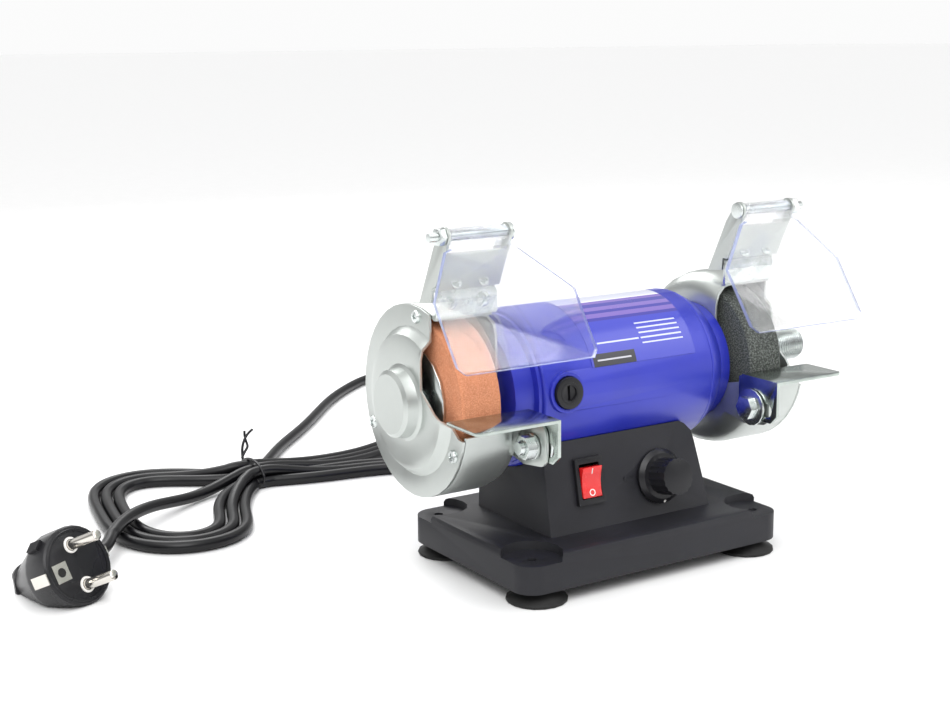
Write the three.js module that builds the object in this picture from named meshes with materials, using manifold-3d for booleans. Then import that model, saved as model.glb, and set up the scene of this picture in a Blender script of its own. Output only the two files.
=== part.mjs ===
import * as THREE from "three";
import { mergeVertices } from "three/addons/utils/BufferGeometryUtils.js";
import Module from "manifold-3d";

const wasm = await Module();
wasm.setup();

// All sizes in millimetres. +X along the shaft to the flexible-shaft port, +Y to the back, +Z up.
const GAP = 0.3;
const SHAFT = { y: 9.3, z: 85.8 };
const BASE = { width: 150, depth: 100, corner: 10, bottom: 6.3, deck: 23.3, wall: 2.5, bevel: 2 };
const PAD = { x: 65, y: 39.6, radius: 14, top: 19.3, bolt: 2.2 };
const FOOT = { x: 61.4, y: 38.3, radius: 14, stem: 4, top: 11 };
const PLATE = { bottom: 6.6, thickness: 1.5 };
const PEDESTAL = { left: -48.2, back: 30, frontAtDeck: -30.4, lean: 0.2067, lip: 64.6 };
const MOTOR = { radius: 37.1, bore: 34.3, left: -49.5, right: 48, neck: 31, neckEnd: -61.2 };
const BELL = { end: 66.2, neck: 29 };
const BEARING = { radius: 11, bore: 4.3, width: 7, left: -56.7, right: 54.5 };
const STATOR = { left: -22, right: 18, radius: 34, bore: 21.3 };
const COIL = { inner: 22.4, outer: 29.6, overhang: 8, halfAngle: 1.27, poleAngle: 0.92 };
const ARMATURE = { left: -24, right: 20, radius: 20.7, teeth: 12 };
const COMMUTATOR = { left: -44.5, right: -31.5, radius: 11 };
const FAN = { left: 30, radius: 31, disc: 1.5, blade: 7, blades: 11, hub: 9 };
const BRUSH = { x: -38, tilt: 0.087, width: 5, height: 8, inner: 11.3, outer: 25 };
const HOLDER = { width: 8, height: 11, inner: 14, outer: 33.4 };
const CAP = { radius: 7.25, inner: 33.8, outer: 40.4, slot: 1.4, boss: 9.4, bossTop: 38.8 };
const SPINDLE = { radius: 4, body: 5.5, left: -102.5, right: 124, bodyHalf: 46 };
const WHEEL = { radius: 37.5, width: 20, bore: 4.3, leftOuter: -92.7, rightOuter: 92 };
const FLANGE = { outer: 24, inner: 22.5, thickness: 2.4, cup: 17, relief: 0.8 };
const NUT = { flats: 13, thickness: 5.4 };
const GUARD = { centre: 2.46, back: 64, radius: 43.8, sheet: 1.3, shoulder: 10, rim: 97, hole: 13 };
const OPENING = { chord: -17, floor: -8.5 };
const COVER = { face: 98.5, sheet: 1.2, dish: 103.6, boss: 110.8, chord: -15.5, knee: 8 };
const COLLAR = { left: 113.6, right: 136.5, radius: 8.2, bore: 6, shoulder: 10.5, seat: 3 };
const TAB = { front: -47.4, back: -30, bottom: 62, top: 81, corner: 5 };
const REST = { end: 99.7, front: -54.3, back: -30, flangeBack: -28, top: 85, sheet: 1.5, low: 64.4 };
const REST_BOLT = { y: -37.6, z: 70.3, radius: 3, hole: 3.3, washer: 9, flats: 10 };
const SLOT = { front: -50.9, back: -31.3, halfWidth: 3.3 };
const HINGE = { y: -20, z: 162.6, shank: 2, bore: 2.3, barrel: 3.4, from: 67.9, to: 97.3 };
const BRACKET = { from: 66.3, to: 98.5, sheet: 1.3, ear: 4.2, ledge: 138.5 };
const SPARK = { from: 66.3, to: 97.3, bottom: 126, top: 138.2, front: -11.5, sheet: 1.3 };
const SHIELD = { sheet: 2, top: 36, bend: 74, foot: 73, leftStart: -100.3, rightStart: 65.3 };
const SWITCH = { x: -24, z: 45.3, width: 15.5, height: 21.5, bezel: 2, depth: 9 };
const ROCKER = { width: 10.6, half: 7.2, pivot: 0.6, tilt: 0.1745 };
const KNOB = { x: 16.5, z: 41.2, skirt: 13, grip: 8.75, flute: 0.5, end: 15, shaft: 3 };
const CORD = { radius: 3.1, exitX: 20, exitZ: 14.5, exitY: 74.3 };
const PLUG = { x: -232.1, y: 71.9, z: 17.2, radius: 18.5, pin: 2.4, pinLength: 19, spread: 9.5 };
const PLUG_PINS = [0.38, -0.83, 0.41];
const PLUG_LINE = [0.23, -0.345, -0.91];
const HANK = { height: 12.6, bevel: 3, leadJoin: [-79.5, 218.5], tailJoin: [-198.5, 127.5] };
const FINE = 18;
const COARSE = 16;

// A closed geometry as a solid with its faces turned outward.
function solid(geometry) {
  const plain = geometry.index ? geometry.toNonIndexed() : geometry;
  plain.deleteAttribute("normal");
  plain.deleteAttribute("uv");
  const merged = mergeVertices(plain, 1e-4);
  const corners = new Uint32Array(merged.index.array);
  const points = merged.attributes.position.array;
  const build = () =>
    new wasm.Manifold(new wasm.Mesh({ numProp: 3, vertProperties: points, triVerts: corners }));
  let made = build();
  if (made.volume() < 0) {
    for (let i = 0; i < corners.length; i += 3) {
      [corners[i + 1], corners[i + 2]] = [corners[i + 2], corners[i + 1]];
    }
    made = build();
  }
  return made;
}

function geometryOf(made) {
  const mesh = made.getMesh();
  const geometry = new THREE.BufferGeometry();
  geometry.setAttribute("position", new THREE.BufferAttribute(mesh.vertProperties, 3));
  geometry.setIndex(new THREE.BufferAttribute(mesh.triVerts, 1));
  const flat = geometry.toNonIndexed();
  flat.computeVertexNormals();
  return flat;
}

function moved(geometry, x, y, z) {
  geometry.translate(x, y, z);
  return geometry;
}

const vector = (x, y, z) => new THREE.Vector3(x, y, z);

function shapeOf(points) {
  return new THREE.Shape(points.map(([u, v]) => new THREE.Vector2(u, v)));
}

function extruded(shape, depth, curve = 8) {
  return new THREE.ExtrudeGeometry(shape, { depth, bevelEnabled: false, curveSegments: curve });
}

// A (y, z) shape swept from x0 to x1.
function alongX(shape, x0, x1, curve) {
  const geometry = extruded(shape, x1 - x0, curve);
  geometry.applyMatrix4(new THREE.Matrix4().makeBasis(vector(0, 1, 0), vector(0, 0, 1), vector(1, 0, 0)));
  return solid(moved(geometry, x0, 0, 0));
}

// An (x, z) shape swept from y0 to y1.
function alongY(shape, y0, y1, curve) {
  const geometry = extruded(shape, y1 - y0, curve);
  geometry.applyMatrix4(new THREE.Matrix4().makeBasis(vector(1, 0, 0), vector(0, 0, 1), vector(0, -1, 0)));
  return solid(moved(geometry, 0, y1, 0));
}

function alongZ(shape, z0, z1, curve) {
  return solid(moved(extruded(shape, z1 - z0, curve), 0, 0, z0));
}

function box(x0, x1, y0, y1, z0, z1) {
  const geometry = new THREE.BoxGeometry(x1 - x0, y1 - y0, z1 - z0);
  return solid(moved(geometry, (x0 + x1) / 2, (y0 + y1) / 2, (z0 + z1) / 2));
}

// A profile of [distance, radius] pairs turned about the Y axis.
function turned(profile, segments = FINE) {
  const points = profile.map(([distance, radius]) => new THREE.Vector2(radius, distance));
  return new THREE.LatheGeometry(points, segments);
}

// Closed [x, radius] profile turned about a line along X through (y, z).
function turnedX(profile, y, z, segments) {
  const closed = profile[0][1] === 0 ? profile : [...profile, profile[0]];
  const geometry = turned(closed, segments);
  geometry.rotateZ(-Math.PI / 2);
  return solid(moved(geometry, 0, y, z));
}

function onShaft(profile, segments) {
  return turnedX(profile, SHAFT.y, SHAFT.z, segments);
}

function rodX(x0, x1, radius, y, z, segments = COARSE) {
  return turnedX([[x0, 0], [x0, radius], [x1, radius], [x1, 0]], y, z, segments);
}

function turnedZ(profile, x, y, segments) {
  const closed = profile[0][1] === 0 ? profile : [...profile, profile[0]];
  const geometry = turned(closed, segments);
  geometry.rotateX(Math.PI / 2);
  return solid(moved(geometry, x, y, 0));
}

function rodZ(x, y, radius, z0, z1, segments = COARSE) {
  return turnedZ([[z0, 0], [z0, radius], [z1, radius], [z1, 0]], x, y, segments);
}

function roundedRectangle(width, height, radius) {
  const x = width / 2;
  const y = height / 2;
  const shape = new THREE.Shape();
  shape.moveTo(-x + radius, -y);
  shape.lineTo(x - radius, -y);
  shape.absarc(x - radius, -y + radius, radius, -Math.PI / 2, 0, false);
  shape.lineTo(x, y - radius);
  shape.absarc(x - radius, y - radius, radius, 0, Math.PI / 2, false);
  shape.lineTo(-x + radius, y);
  shape.absarc(-x + radius, y - radius, radius, Math.PI / 2, Math.PI, false);
  shape.lineTo(-x, -y + radius);
  shape.absarc(-x + radius, -y + radius, radius, Math.PI, Math.PI * 1.5, false);
  return shape;
}

function hexagon(flats, y, z) {
  const radius = flats / Math.sqrt(3);
  const corners = [];
  for (let i = 0; i < 6; i++) {
    const angle = (i * Math.PI) / 3;
    corners.push([y + radius * Math.cos(angle), z + radius * Math.sin(angle)]);
  }
  return shapeOf(corners);
}

// The pedestal's leaning front: u runs up the face and n stands out of it.
const SLOPE_UP = vector(0, Math.sin(PEDESTAL.lean), Math.cos(PEDESTAL.lean));
const SLOPE_OUT = vector(0, -Math.cos(PEDESTAL.lean), Math.sin(PEDESTAL.lean));

function frontAt(z) {
  return PEDESTAL.frontAtDeck + (z - BASE.deck) * Math.tan(PEDESTAL.lean);
}

// Moves a geometry drawn with its local z out of the face to the point (x, z) of the face.
function onFront(geometry, x, z) {
  geometry.applyMatrix4(new THREE.Matrix4().makeBasis(vector(1, 0, 0), SLOPE_UP, SLOPE_OUT));
  return solid(moved(geometry, x, frontAt(z), z));
}

function frontRod(x, z, radius, from, to, segments = COARSE) {
  const geometry = turned([[from, 0], [from, radius], [to, radius], [to, 0]], segments);
  geometry.rotateX(Math.PI / 2);
  return onFront(geometry, x, z);
}

function frontBlock(x, z, width, height, from, to) {
  return onFront(moved(new THREE.BoxGeometry(width, height, to - from), 0, 0, (from + to) / 2), x, z);
}

function pedestalBlock(inset) {
  const front = PEDESTAL.frontAtDeck + inset;
  const low = BASE.deck - 4;
  const high = 67;
  const side = shapeOf([
    [front + (low - BASE.deck) * Math.tan(PEDESTAL.lean), low],
    [PEDESTAL.back - inset, low],
    [PEDESTAL.back - inset, high],
    [front + (high - BASE.deck) * Math.tan(PEDESTAL.lean), high],
  ]);
  const face = shapeOf([
    [PEDESTAL.left + inset, low],
    [45.6 - inset, low],
    [42.7 - inset, 39.8],
    [40.5 - inset, 54.3],
    [39.4 - inset, 59.2],
    [35.6 - inset, 63.1],
    [30.4 - inset, 65.6],
    [-47 + inset, 67],
  ]);
  return alongX(side, -60, 60).intersect(alongY(face, -60, 60));
}

function baseHousing() {
  const bevel = BASE.bevel;
  const slab = new THREE.ExtrudeGeometry(
    roundedRectangle(BASE.width - 2 * bevel, BASE.depth - 2 * bevel, BASE.corner - bevel),
    { depth: 20, bevelThickness: bevel, bevelSize: bevel, bevelSegments: 2, curveSegments: 5 },
  );
  const block = box(-80, 80, -60, 60, BASE.bottom, 40);
  const skirt = solid(moved(slab, 0, 0, BASE.deck - 20 - bevel)).intersect(block);
  const wall = BASE.wall;
  const inside = roundedRectangle(BASE.width - 2 * wall, BASE.depth - 2 * wall, BASE.corner - wall);
  let cavity = alongZ(inside, 0, BASE.deck - wall, 6);
  let shell = skirt.add(pedestalBlock(0).intersect(box(-60, 60, -40, 40, 15, PEDESTAL.lip)));
  for (const [sx, sy] of [[1, 1], [1, -1], [-1, 1], [-1, -1]]) {
    shell = shell.subtract(rodZ(sx * PAD.x, sy * PAD.y, PAD.radius, PAD.top, 40));
    cavity = cavity.subtract(rodZ(sx * PAD.x, sy * PAD.y, PAD.radius + wall, PAD.top - wall, 40));
    shell = shell.subtract(rodZ(sx * PAD.x, sy * PAD.y, PAD.bolt, 10, 40, 14));
    cavity = cavity.subtract(rodZ(sx * FOOT.x, sy * FOOT.y, 6.5, PLATE.bottom + 2, 40, 16));
    cavity = cavity.add(rodZ(sx * FOOT.x, sy * FOOT.y, FOOT.stem + GAP, 0, FOOT.top + GAP, 16));
  }
  cavity = cavity.add(pedestalBlock(wall).subtract(rodX(-60, 60, MOTOR.radius + 3.2, SHAFT.y, SHAFT.z)));
  shell = shell.subtract(cavity);
  shell = shell.subtract(rodX(-60, 60, MOTOR.radius + GAP, SHAFT.y, SHAFT.z, FINE * 2));
  shell = shell.subtract(rodZ(0, SHAFT.y, 6, 30, 60, 16));
  shell = shell.subtract(
    frontBlock(SWITCH.x, SWITCH.z, SWITCH.width - 2, SWITCH.height - 2, -8, 4),
  );
  shell = shell.subtract(frontRod(KNOB.x, KNOB.z, 3.8, -8, 4, 16));
  shell = shell.add(frontRod(KNOB.x - 19.6, 43, 0.9, -1, 0.7, 10));
  const exit = turned([[40, 0], [40, 5.3], [60, 5.3], [60, 0]], 20);
  return shell.subtract(solid(moved(exit, CORD.exitX, 0, CORD.exitZ)));
}

function basePlate() {
  const wall = BASE.wall + GAP;
  const outline = roundedRectangle(BASE.width - 2 * wall, BASE.depth - 2 * wall, BASE.corner - wall);
  let plate = alongZ(outline, PLATE.bottom, PLATE.bottom + PLATE.thickness, 6);
  for (const [sx, sy] of [[1, 1], [1, -1], [-1, 1], [-1, -1]]) {
    plate = plate.subtract(rodZ(sx * FOOT.x, sy * FOOT.y, FOOT.stem + GAP, 0, 20, 16));
  }
  for (const x of [-20, -10, 0, 10, 20]) {
    plate = plate.subtract(box(x - 2, x + 2, -12, 12, 0, 20));
  }
  return plate;
}

function foot(x, y) {
  const profile = [
    [2.6, 0],
    [1.6, 9],
    [0, 12],
    [0, FOOT.radius],
    [1.2, FOOT.radius],
    [3.4, 9.6],
    [BASE.bottom, 7.5],
    [BASE.bottom, FOOT.stem],
    [FOOT.top, FOOT.stem],
    [FOOT.top, 0],
  ];
  return turnedZ(profile, x, y, 18);
}

// A bar out from the shaft at the brush angle; side is -1 at the front and 1 at the back.
function onBrushLine(geometry, side) {
  const angle = side < 0 ? Math.PI - BRUSH.tilt : -BRUSH.tilt;
  geometry.rotateX(angle);
  return solid(moved(geometry, BRUSH.x, SHAFT.y, SHAFT.z));
}

function brushRod(radius, from, to, side, segments = 20) {
  return onBrushLine(turned([[from, 0], [from, radius], [to, radius], [to, 0]], segments), side);
}

function brushBlock(width, height, from, to, side) {
  const block = new THREE.BoxGeometry(width, to - from, height);
  return onBrushLine(moved(block, 0, (from + to) / 2, 0), side);
}

function motorHousing() {
  const end = MOTOR.left + 2.5;
  const pocket = BEARING.radius + GAP;
  let body = onShaft([
    [MOTOR.neckEnd, 6],
    [MOTOR.neckEnd, MOTOR.neck],
    [MOTOR.left - 1.6, MOTOR.neck],
    [MOTOR.left - 1.6, MOTOR.radius - 2.2],
    [MOTOR.left, MOTOR.radius - 2.2],
    [MOTOR.left, MOTOR.radius - 0.8],
    [MOTOR.left + 0.8, MOTOR.radius],
    [MOTOR.right, MOTOR.radius],
    [MOTOR.right, MOTOR.bore],
    [end, MOTOR.bore],
    [end, pocket],
    [BEARING.left - GAP, pocket],
    [BEARING.left - GAP, 6],
  ], FINE * 2);
  for (const side of [-1, 1]) {
    body = body.add(brushRod(CAP.boss, MOTOR.bore + 1, CAP.bossTop, side, 24));
    body = body.subtract(brushRod(CAP.radius + GAP, 30, 45, side));
  }
  return body.subtract(rodZ(0, SHAFT.y, 6, 40, 60, 16));
}

function endBell() {
  const pocket = BEARING.radius + GAP;
  const x0 = MOTOR.right + GAP;
  return onShaft([
    [x0, 33],
    [x0, MOTOR.radius - 0.3],
    [x0 + 1.2, MOTOR.radius - 0.4],
    [56, 33.5],
    [58.5, 31],
    [60.5, BELL.neck],
    [BELL.end, BELL.neck],
    [BELL.end, 6],
    [BEARING.right + BEARING.width + GAP, 6],
    [BEARING.right + BEARING.width + GAP, pocket],
    [52.5, pocket],
    [52.5, 30],
  ], FINE * 2);
}

function ring(x0, x1, inner, outer, segments = COARSE) {
  return onShaft([[x0, inner], [x0, outer], [x1, outer], [x1, inner]], segments);
}

// The part of a ring within halfAngle of straight up (side 1) or straight down (side -1).
function wedge(halfAngle, side) {
  const reach = 80;
  const points = [[0, 0]];
  for (let i = 0; i <= 6; i++) {
    const angle = Math.PI / 2 + halfAngle * (i / 3 - 1);
    points.push([reach * Math.cos(angle), side * reach * Math.sin(angle)]);
  }
  const shape = shapeOf(points.map(([y, z]) => [y + SHAFT.y, z + SHAFT.z]));
  return alongX(shape, -70, 70);
}

function stator() {
  let core = ring(STATOR.left, STATOR.right, STATOR.bore, STATOR.radius, FINE);
  const slots = ring(STATOR.left - 1, STATOR.right + 1, STATOR.bore - 1, COIL.outer + GAP, FINE);
  for (const side of [1, -1]) {
    const room = wedge(COIL.halfAngle + 0.02, side).subtract(wedge(COIL.poleAngle - 0.01, side));
    core = core.subtract(slots.intersect(room));
  }
  return core;
}

function fieldCoil(side) {
  const x0 = STATOR.left - COIL.overhang;
  const x1 = STATOR.right + COIL.overhang;
  const band = ring(x0, x1, COIL.inner, COIL.outer, FINE).intersect(wedge(COIL.halfAngle, side));
  const pole = wedge(COIL.poleAngle + 0.01, side);
  const window = box(STATOR.left - GAP, STATOR.right + GAP, -80, 80, 0, 200).intersect(pole);
  return band.subtract(window);
}

function armature() {
  const corners = [];
  const step = (2 * Math.PI) / ARMATURE.teeth;
  const mouth = ARMATURE.radius - 5;
  for (let i = 0; i < ARMATURE.teeth; i++) {
    for (const [part, radius] of [[0, 1], [0.4, 1], [0.8, 1], [0.8, 0], [1, 0]]) {
      const angle = (i + part) * step;
      const reach = radius ? ARMATURE.radius : mouth;
      corners.push([SHAFT.y + reach * Math.cos(angle), SHAFT.z + reach * Math.sin(angle)]);
    }
  }
  const core = alongX(shapeOf(corners), ARMATURE.left, ARMATURE.right);
  return core.subtract(rodX(-60, 60, SPINDLE.body + GAP, SHAFT.y, SHAFT.z, 20));
}

function coolingFan() {
  const x = FAN.left;
  let fan = ring(x, x + FAN.disc, SPINDLE.body + GAP, FAN.radius, 33);
  fan = fan.add(ring(x, x + FAN.disc + FAN.blade, SPINDLE.body + GAP, FAN.hub, 20));
  for (let i = 0; i < FAN.blades; i++) {
    const blade = new THREE.BoxGeometry(FAN.blade, 22, 1.2);
    moved(blade, x + FAN.disc + FAN.blade / 2 - 0.1, FAN.radius - 12.6, 0);
    blade.rotateX((i * 2 * Math.PI) / FAN.blades);
    fan = fan.add(solid(moved(blade, 0, SHAFT.y, SHAFT.z)));
  }
  return fan;
}

function spindle() {
  const half = SPINDLE.bodyHalf;
  let shaft = onShaft([
    [SPINDLE.left, 0],
    [SPINDLE.left, SPINDLE.radius - 0.8],
    [SPINDLE.left + 0.8, SPINDLE.radius],
    [-half, SPINDLE.radius],
    [-half, SPINDLE.body],
    [half, SPINDLE.body],
    [half, SPINDLE.radius],
    [SPINDLE.right, SPINDLE.radius],
    [SPINDLE.right, 0],
  ], 24);
  const square = 2.2;
  const y = SHAFT.y;
  const z = SHAFT.z;
  return shaft.subtract(box(SPINDLE.right - 8, 130, y - square, y + square, z - square, z + square));
}

function brushHolder(side) {
  const outside = brushBlock(HOLDER.width, HOLDER.height, HOLDER.inner, HOLDER.outer, side);
  const hole = brushBlock(BRUSH.width + 2 * GAP, BRUSH.height + 2 * GAP, 10, 40, side);
  return outside.subtract(hole);
}

function brushCap(side) {
  const cap = brushRod(CAP.radius, CAP.inner, CAP.outer, side, 24);
  const dish = brushRod(3.6, CAP.outer - 1.2, 45, side, 16);
  const slot = brushBlock(CAP.slot, 7, CAP.outer - 2.6, 45, side);
  return cap.subtract(dish).subtract(slot);
}

// Distance from the guards' middle plane to the shaft coordinate, on the left (-1) or right (1).
function across(distance, hand) {
  return GUARD.centre + hand * distance;
}

function acrossPair(from, to, hand) {
  const ends = [across(from, hand), across(to, hand)];
  return hand < 0 ? ends.reverse() : ends;
}

function sideSheet(points, from, to, hand) {
  const [x0, x1] = acrossPair(from, to, hand);
  return alongX(shapeOf(points), x0, x1);
}

function guardBowl(hand) {
  const outer = [];
  const inner = [];
  const bend = GUARD.radius - GUARD.shoulder;
  const turn = GUARD.back + GUARD.shoulder;
  for (let i = 0; i <= 3; i++) {
    const angle = (i * Math.PI) / 6;
    const skin = GUARD.shoulder - GUARD.sheet;
    outer.push([turn - GUARD.shoulder * Math.cos(angle), bend + GUARD.shoulder * Math.sin(angle)]);
    inner.unshift([turn - skin * Math.cos(angle), bend + skin * Math.sin(angle)]);
  }
  const profile = [
    [GUARD.back, GUARD.hole],
    ...outer,
    [GUARD.rim, GUARD.radius],
    [GUARD.rim, GUARD.radius - GUARD.sheet],
    ...inner,
    [GUARD.back + GUARD.sheet, GUARD.hole],
  ];
  let bowl = onShaft(profile.map(([x, r]) => [across(x, hand), r]), FINE * 2);
  const [x0, x1] = acrossPair(60, 110, hand);
  const front = SHAFT.y + OPENING.chord;
  const floor = SHAFT.z + OPENING.floor;
  bowl = bowl.subtract(box(x0, x1, -60, front, floor, 200));
  bowl = bowl.add(sideSheet(tabOutline(), GUARD.back, GUARD.back + GUARD.sheet, hand));
  bowl = bowl.add(sideSheet(lugOutline(), BRACKET.from + 1.9, BRACKET.to - 1.9, hand));
  return bowl.subtract(rodX(-90, 90, REST_BOLT.hole, REST_BOLT.y, REST_BOLT.z, 16));
}

function tabOutline() {
  const points = [[TAB.back, TAB.top], [-14, 77.2], [-14, 64], [TAB.back, TAB.bottom - 1.5]];
  for (let i = 0; i <= 4; i++) {
    const angle = Math.PI * 1.5 - (i * Math.PI) / 8;
    const y = TAB.front + TAB.corner + TAB.corner * Math.cos(angle);
    points.push([y, TAB.bottom + TAB.corner + TAB.corner * Math.sin(angle)]);
  }
  for (let i = 0; i <= 4; i++) {
    const angle = Math.PI - (i * Math.PI) / 8;
    const y = TAB.front + TAB.corner + TAB.corner * Math.cos(angle);
    points.push([y, TAB.top - TAB.corner + TAB.corner * Math.sin(angle)]);
  }
  return points;
}

// The folded edge at the top of the opening that carries the spark plate and the bracket.
function lugOutline() {
  const top = BRACKET.ledge - GAP;
  const front = SPARK.front + SPARK.sheet + GAP;
  return [
    [front, 124.6],
    [-6.5, 124.2],
    [-6.5, 126.2],
    [front + 1.2, 127],
    [front + 1.2, top - 1.2],
    [-3, top - 1.2],
    [-3, top],
    [front, top],
  ];
}

function guardCover(hand) {
  const outside = [
    [COVER.face, GUARD.radius],
    [COVER.face, 34],
    [COVER.face + 1.5, 32.6],
    [COVER.dish - 1, 30.5],
    [COVER.dish, 27],
    [COVER.dish, 17.5],
    [COVER.dish + 1, 16],
    [COVER.boss - 1.4, 15.2],
    [COVER.boss, 13.5],
  ];
  const inside = [
    [COVER.boss - COVER.sheet, 13],
    [COVER.boss - 2.2, 14],
    [COVER.dish - 0.2, 14.8],
    [COVER.dish - 1.2, 16.9],
    [COVER.dish - 1.2, 26.6],
    [COVER.dish - 2, 29.6],
    [COVER.face + 0.6, 31.5],
    [COVER.face - 1.2, 33.2],
    [COVER.face - 1.2, GUARD.radius],
  ];
  const port = hand > 0 ? COLLAR.bore + 0.3 : 0;
  const middle = hand > 0 ? [[COVER.boss, port], [COVER.boss - 1.2, port]] : [[COVER.boss, 0]];
  const close = hand > 0 ? [] : [[COVER.boss - 1.2, 0]];
  const ringed = [...outside, ...middle, ...close, ...inside];
  const around = hand > 0 ? ringed : [...close, ...inside, ...outside, ...middle];
  const placed = around.map(([x, r]) => [across(x, hand), r]);
  const cover = onShaft(placed, FINE * 2);
  const cut = [
    [COVER.chord, 70],
    [COVER.chord, COVER.knee],
    [-38.4, -9.7],
    [-70, -12],
    [-70, 70],
  ].map(([y, z]) => [y + SHAFT.y, z + SHAFT.z]);
  return cover.subtract(sideSheet(cut, 90, 120, hand));
}

function wheel(outerFace, hand) {
  const x1 = outerFace;
  const x0 = outerFace - hand * WHEEL.width;
  const edge = 0.8;
  return onShaft([
    [x0, WHEEL.bore],
    [x0, WHEEL.radius - edge],
    [x0 + hand * edge, WHEEL.radius],
    [x1 - hand * edge, WHEEL.radius],
    [x1, WHEEL.radius - edge],
    [x1, WHEEL.bore],
  ], FINE * 2);
}

// Clamping disc whose rim bears on the wheel; hub is its length along the shaft beyond the disc.
function flange(face, hand, radius, hub) {
  const rim = face + hand * GAP;
  const back = rim + hand * FLANGE.thickness;
  return onShaft([
    [rim + hand * FLANGE.relief, WHEEL.bore],
    [rim + hand * FLANGE.relief, FLANGE.cup],
    [rim, FLANGE.cup],
    [rim, radius],
    [rim + hand * 1.4, radius],
    [back, radius - 3],
    [back, 9],
    [back + hand * hub, 9],
    [back + hand * hub, WHEEL.bore],
  ], FINE);
}

function spindleNut(outerFace, hand) {
  const near = outerFace + hand * (FLANGE.thickness + 3 * GAP);
  const far = near + hand * NUT.thickness;
  const hex = alongX(hexagon(NUT.flats, SHAFT.y, SHAFT.z), Math.min(near, far), Math.max(near, far));
  return hex.subtract(rodX(-130, 130, SPINDLE.radius + GAP, SHAFT.y, SHAFT.z, 20));
}

function flexCollar() {
  return onShaft([
    [COLLAR.left, COLLAR.bore],
    [COLLAR.left, COLLAR.shoulder],
    [COLLAR.left + COLLAR.seat, COLLAR.shoulder],
    [COLLAR.left + COLLAR.seat, COLLAR.radius],
    [COLLAR.right - 0.8, COLLAR.radius],
    [COLLAR.right, COLLAR.radius - 0.8],
    [COLLAR.right, COLLAR.bore],
  ], COARSE);
}

function toolRest(hand) {
  const flangeTo = GUARD.back - GAP;
  const flangeFrom = flangeTo - REST.sheet;
  const plate = sideSheet(
    [[REST.front, REST.top - REST.sheet], [REST.back, REST.top - REST.sheet],
      [REST.back, REST.top], [REST.front, REST.top]],
    flangeFrom, REST.end + 5, hand,
  );
  const cheek = sideSheet(
    [[REST.front, REST.top - 0.4], [REST.front, REST.low + 4], [REST.front + 4, REST.low],
      [REST.flangeBack - 4, REST.low], [REST.flangeBack, REST.low + 4], [REST.flangeBack, REST.top - 1.4],
      [REST.back, REST.top - 0.4]],
    flangeFrom, flangeTo, hand,
  );
  const slot = new THREE.Shape();
  slot.absarc(SLOT.front + SLOT.halfWidth, REST_BOLT.z, SLOT.halfWidth, Math.PI / 2, Math.PI * 1.5, false);
  slot.absarc(SLOT.back - SLOT.halfWidth, REST_BOLT.z, SLOT.halfWidth, -Math.PI / 2, Math.PI / 2, false);
  const trim = roundedRectangle(120, 200, 3);
  const outline = alongZ(trim, 50, 100, 4).translate([hand * (across(REST.end + 5, hand) * hand - 60), 0, 0]);
  const cornered = plate.intersect(outline.translate([0, REST.front + 100, 0]));
  return cornered.add(cheek).subtract(alongX(slot, -80, 80, 6));
}

function restBolt(hand) {
  const washer = GUARD.back - REST.sheet - 2 * GAP;
  const [x0, x1] = acrossPair(washer - 1.2, washer, hand);
  const [h0, h1] = acrossPair(washer - 5.2, washer - 1.1, hand);
  const [s0, s1] = acrossPair(washer - 2, GUARD.back + 9.5, hand);
  const head = alongX(hexagon(REST_BOLT.flats, REST_BOLT.y, REST_BOLT.z), h0, h1);
  return head
    .add(rodX(x0, x1, REST_BOLT.washer, REST_BOLT.y, REST_BOLT.z))
    .add(rodX(s0, s1, REST_BOLT.radius, REST_BOLT.y, REST_BOLT.z, 16));
}

function restNut(hand) {
  const near = GUARD.back + GUARD.sheet + GAP;
  const [w0, w1] = acrossPair(near, near + 1.1, hand);
  const [n0, n1] = acrossPair(near + 1, near + 5.6, hand);
  const bore = rodX(-90, 90, REST_BOLT.hole, REST_BOLT.y, REST_BOLT.z, 16);
  return alongX(hexagon(REST_BOLT.flats, REST_BOLT.y, REST_BOLT.z), n0, n1)
    .add(rodX(w0, w1, 6, REST_BOLT.y, REST_BOLT.z, 20))
    .subtract(bore);
}

function cheekOutline() {
  const points = [[1.2, 131.3], [-9, 132.7], [-9.4, 138.6], [-13.2, 140.6]];
  for (let i = 0; i <= 6; i++) {
    const angle = Math.PI * 1.08 - (i * Math.PI * 1.05) / 6;
    points.push([HINGE.y + BRACKET.ear * Math.cos(angle), HINGE.z + BRACKET.ear * Math.sin(angle)]);
  }
  points.push([-11.4, 156.9]);
  return points;
}

function shieldBracket(hand) {
  const sheet = BRACKET.sheet;
  const web = [[-20.5, 155], [-13.1, BRACKET.ledge], [-3, BRACKET.ledge], [-3, BRACKET.ledge + sheet],
    [-12.3, BRACKET.ledge + sheet], [-19.2, 155.4]];
  const hole = rodX(-110, 120, HINGE.bore, HINGE.y, HINGE.z, 16);
  return sideSheet(web, BRACKET.from, BRACKET.to, hand)
    .add(sideSheet(cheekOutline(), BRACKET.from, BRACKET.from + sheet, hand))
    .add(sideSheet(cheekOutline(), BRACKET.to - 0.9, BRACKET.to + 0.4, hand))
    .subtract(hole);
}

function sparkPlate(hand) {
  const [x0, x1] = acrossPair(SPARK.from, SPARK.to, hand);
  const outline = shapeOf([
    [x0, SPARK.bottom],
    [x1, SPARK.bottom],
    [x1, SPARK.top - 3],
    [x1 - 0.9, SPARK.top - 0.9],
    [x1 - 3, SPARK.top],
    [x0 + 3, SPARK.top],
    [x0 + 0.9, SPARK.top - 0.9],
    [x0, SPARK.top - 3],
  ]);
  return alongY(outline, SPARK.front, SPARK.front + SPARK.sheet);
}

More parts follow.
